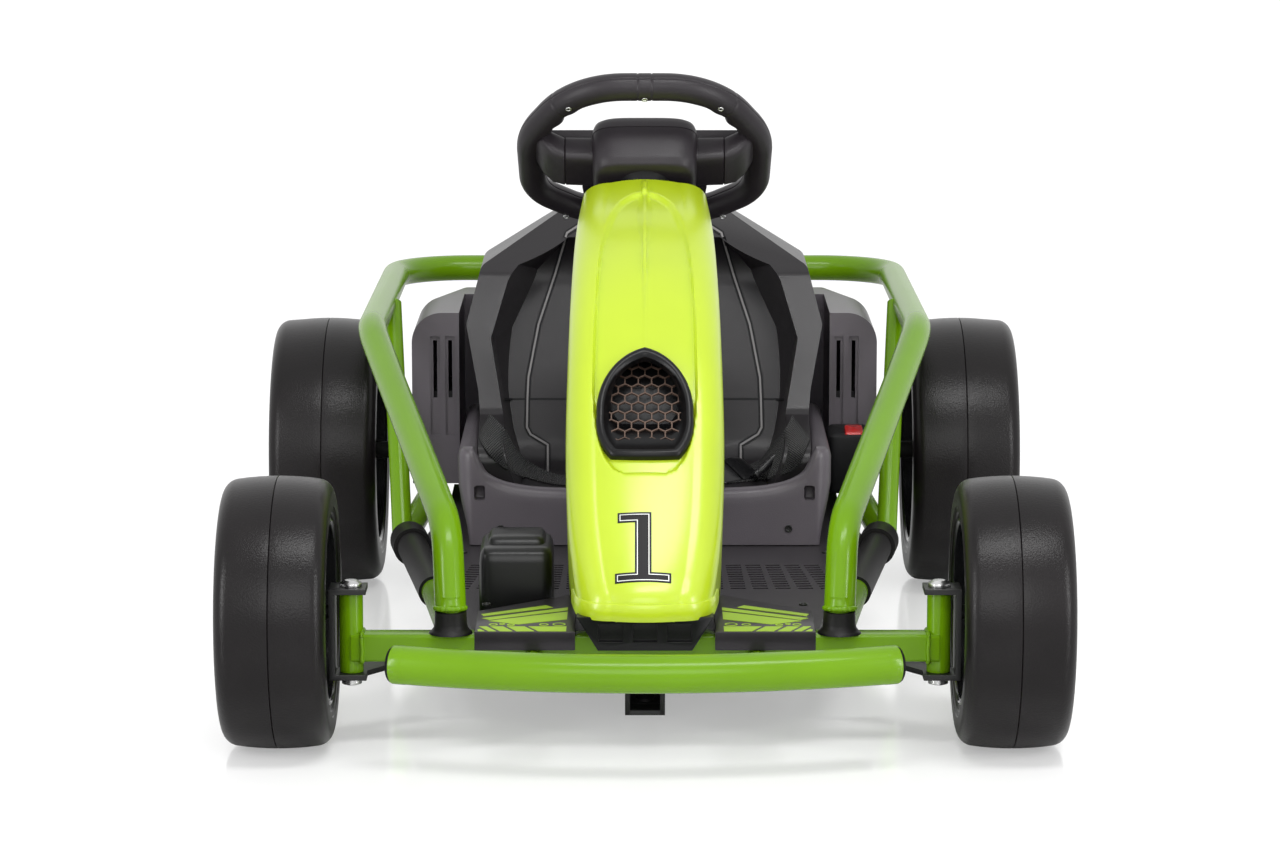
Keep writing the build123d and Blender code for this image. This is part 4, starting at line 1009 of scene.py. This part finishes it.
# Deck film: generic bars, wedges and rings
deckFilm = {
    "bars": [  # four corners, across and y from the front axle
        ((62, -35), (84, -35), (92, -18), (62, -18)), ((87, -35), (101, -35), (109, -18), (95, -18)),
        ((104, -35), (114, -35), (122, -18), (112, -18)),
        ((117, -35), (123, -35), (131, -18), (125, -18)), ((126, -35), (131, -35), (132, -30), (130, -27)),
        ((62, 8), (100, -10), (124, 2), (62, 36)), ((62, 41), (124, 6), (130, 12), (62, 52)),
        ((74, 52), (129, 20), (131, 27), (80, 60)),
    ],
    "rings": [(68, -10, 5.2), (80, -11, 3.8), (106, -12, 3.2), (113, -9, 2.4), (120, -11, 3.6)],
    "top": 100.15,
}


def flatBar(corners):
    a, b, c, d = [Vector(corner) for corner in corners]

    def place(u, v):
        spot = a.lerp(b, u).lerp(d.lerp(c, u), v)
        return inKart(spot.x, spot.y, deckFilm["top"])
    return shapedGrid(6, 6, place)


for side, name in ((1, "Left"), (-1, "Right")):
    marks = [flatBar([(side * x, y) for x, y in corners]) for corners in deckFilm["bars"]]
    for x, y, size in deckFilm["rings"]:
        middle = inKart(side * x, y, deckFilm["top"])
        rings = [roundRing(middle, acrossLine, alongLine, reach / 1000, 24) for reach in (size, size - 1.2)]
        marks.append(loftRings(rings, False))
    film = joinPieces(marks)
    applyModifier(film, "SOLIDIFY", thickness=0.0003, offset=0)
    finishPiece(film, "deckMarks" + name, filmLime, angle=35)

# Sleeves at the guard's feet
bootRows = [  # height and radius
    (109.2, 9.4), (109.2, 12), (108.7, 12.6), (99.5, 12.9), (96, 13.6), (93.6, 15.4), (92.2, 17.2), (91.6, 17.4),
    (91.55, 9.4),
]
boots = []
for side in (1, -1):
    rings = [roundRing(inKart(side * 154, -2, height), acrossLine, alongLine, size / 1000, 64)
             for height, size in bootRows]
    boots.append(loftRings(rings + [rings[0]], False))
finishPiece(joinPieces(boots), "guardSleeves", rubber, stands=["guard_boots"])

# Bright paint runs on to the bumper's ends, so that only a thin black plug shows
sleeveRows = [(-2, 14.6), (-2, 15.05), (-1, 15.12), (7.6, 15.12), (8.4, 14.9), (8.4, 14.6)]
sleeves = []
for side in (1, -1):
    line = Vector((side * cos(radians(18.3)), sin(radians(18.3)), 0))
    start = inKart(side * 186, -92, 86)
    rings = [roundRing(start + line * (along / 1000), upLine.cross(line), upLine, size / 1000, 72)
             for along, size in sleeveRows]
    sleeves.append(loftRings(rings + [rings[0]], False))
finishPiece(joinPieces(sleeves), "bumperEnds", tubePaint)

# Weld beads
def ringRound(middle, line, size, bead):
    side = line.cross(upLine if abs(line.z) < 0.9 else acrossLine).normalized()
    up = line.cross(side)
    turns = [2 * pi * index / 72 for index in range(72)]
    spots = [middle + (side * cos(turn) + up * sin(turn)) * (size + 0.0004 * sin(turn * 17)) for turn in turns]
    return tubeAlong(spots, bead)


beads = []
for side in (1, -1):
    beamSpots = []
    for index in range(64):
        wide, tall = squarish(index / 64, 11.6, 11.6, 8)
        beamSpots.append(inKart(side * (224.2 + 0.4 * sin(index * 1.9)), wide, 80.5 + tall))
    beads.append(tubeAlong(beamSpots, 0.0017))
    beads.append(ringRound(inKart(side * 154.5, -1.2, 111.5), Vector((0, 0.12, 1)).normalized(), 0.0118, 0.0022))
finishPiece(joinPieces(beads), "weldBeads", tubePaint, angle=50)

# Small screws on the rear housing's back and sides, and on the seat base
screwHead = {"housing": (0.0042, 0.0022), "base": (0.0034, 0.0018), "pan": (0.0036, 0.0018)}  # radius and height
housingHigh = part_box("rear_housing")[1]
housingSkin = copyNode("rear_housing", baseGrey)
starts = []
for across, height in ((-0.15, 0.125), (-0.05, 0.125), (0.05, 0.125), (0.15, 0.125), (-0.14, 0.215), (0.14, 0.215)):
    starts.append((Vector((across, housingHigh.y + 0.1, height)), Vector((0, -1, 0))))
for sign in (1, -1):
    starts += [(inKart(sign * 400, 660, height), Vector((-sign, 0, 0))) for height in (128, 210)]
caps = []
for start, line in starts:
    hit, where, normal, _ = housingSkin.ray_cast(start, line)
    if hit:
        caps.append(addBolt(where, normal, *screwHead["housing"]))
for sign in (1, -1):
    for across in (60, 128):
        caps.append(addBolt(inKart(sign * across, 400.1, 96), Vector((0, -1, 0)), *screwHead["base"]))
finishPiece(joinPieces(caps), "housingScrews", darkSteel)

# Screws that hold the floor pan and deck plates
caps = []
for sign in (1, -1):
    for x, y, z in ((66, 88, 80), (128, 88, 80), (160, 230, 80), (160, 370, 80), (30, 380, 80), (128, 62, 100)):
        caps.append(addBolt(inKart(sign * x, y, z), upLine, *screwHead["pan"]))
finishPiece(joinPieces(caps), "panScrews", darkSteel)
print("Deck, welds and screws are made")

# Pieces that keep their CAD shape: finish, width of the rounded edges, and nodes
skins = [
    (tubePaint, 0.0012, ["frame_beam"]),
    (tubePaint, 0.0, ["side_rails", "side_guard", "uprights", "bumper"]),
    (rubber, 0.0, ["bumper_caps", "rail_sleeves"]),
    (darkSteel, 0.0006, ["column_bracket"]),
    # The floor pan takes the darker copy of the base's grey, painted shade
    (panShadedGrey, 0.0, ["floor_pan"]),
    (deckFilmDark, 0.0006, ["deck_plates"]),
    (deepBlack, 0.0008, ["nose_base"]),
    (flatBlack, 0.0, ["column_bearing"]),
    (flatBlack, 0.001, ["battery", "drive_units"]),
    (darkSteel, 0.0004, ["rear_stubs"]),
    (darkSteel, 0.0005, ["steering_column"]),
    (darkSteel, 0.0006, ["knuckle_left", "knuckle_right"]),
    (brightSteel, 0.0004, ["kingpin_bolt_left", "kingpin_bolt_right"]),
    (darkSteel, 0.0, ["tie_rod_left", "tie_rod_right"]),
    (glossBlack, 0.0, [f"hub_{end}_{side}" for end in ("front", "rear") for side in ("left", "right")]),
]
for material, bevel, names in skins:
    for node in names:
        copyNode(node, material, bevel)
print("CAD pieces are smoothed")

# Floor, light and camera
studio = {
    "floorColour": (0.86, 0.86, 0.86), "floorLift": 0.36, "worldStrength": 0.5,
    "keyPower": 24, "frontPower": 15.5, "sidePower": 20,
    "aim": (0, 0, 0.2), "cameraTilt": 80.19, "lens": 116.16,
}

clearSelection()
bpy.ops.mesh.primitive_plane_add(size=40, location=(0, 9, 0))
floor = bpy.context.object
floor.name = "studioFloor"
floorPaint = surface("floorPaint", studio["floorColour"], 0.1, 3, 0.0, blotch=0.0)
floorTree = floorPaint.node_tree
floorRays = addNode(floorTree, "LightPath")
floorLift = addNode(floorTree, "Math", {1: studio["floorLift"]}, operation="MULTIPLY")
floorShader = floorTree.nodes["Principled BSDF"]
floorShader.inputs["Emission Color"].default_value = (1, 1, 1, 1)
linkAll(floorTree, (floorRays, "Is Camera Ray", floorLift, 0), (floorLift, 0, floorShader, "Emission Strength"))
floor.data.materials.append(floorPaint)

world = bpy.data.worlds.new("studioWorld")
bpy.context.scene.world = world
world.use_nodes = True
sky = world.node_tree
sky.nodes.clear()
rays = addNode(sky, "LightPath")
seen, seenMore = [addNode(sky, "Math", operation="MAXIMUM") for _ in range(2)]
lit, shown = [addNode(sky, "Background", {"Color": (1, 1, 1, 1), "Strength": strength})
              for strength in (studio["worldStrength"], 1.0)]
choose = addNode(sky, "MixShader")
out = addNode(sky, "OutputWorld")
linkAll(sky, (rays, "Is Camera Ray", seen, 0), (rays, "Is Glossy Ray", seen, 1), (seen, 0, seenMore, 0),
        (rays, "Is Transmission Ray", seenMore, 1), (seenMore, 0, choose, "Fac"), (lit, 0, choose, 1),
        (shown, 0, choose, 2), (choose, 0, out, "Surface"))

# name, place, width, height, power
lampRows = [
    ("keyLamp", (0.3, -1.3, 2.4), 1.5, 0.5, studio["keyPower"]),
    ("frontLamp", (0.0, -3.0, 1.3), 1.5, 1.2, studio["frontPower"]),
    ("leftLamp", (1.9, -1.7, 0.9), 0.3, 1.5, studio["sidePower"]),
    ("rightLamp", (-1.9, -1.7, 0.9), 0.3, 1.5, studio["sidePower"]),
]
for lampName, place, width, height, power in lampRows:
    clearSelection()
    bpy.ops.object.light_add(type="AREA", location=place)
    lamp = bpy.context.object
    lamp.name = lampName
    lamp.data.shape = "RECTANGLE"
    lamp.data.size = width
    lamp.data.size_y = height
    lamp.data.energy = power
    lamp.rotation_euler = (Vector(studio["aim"]) - Vector(place)).to_track_quat("-Z", "Y").to_euler()

clearSelection()
bpy.ops.object.camera_add(location=eye, rotation=(radians(studio["cameraTilt"]), 0, 0))
camera = bpy.context.object
camera.data.lens = studio["lens"]
camera.data.sensor_width = 36
bpy.context.scene.camera = camera
bpy.context.scene.view_settings.view_transform = "Standard"
print("Studio is set")
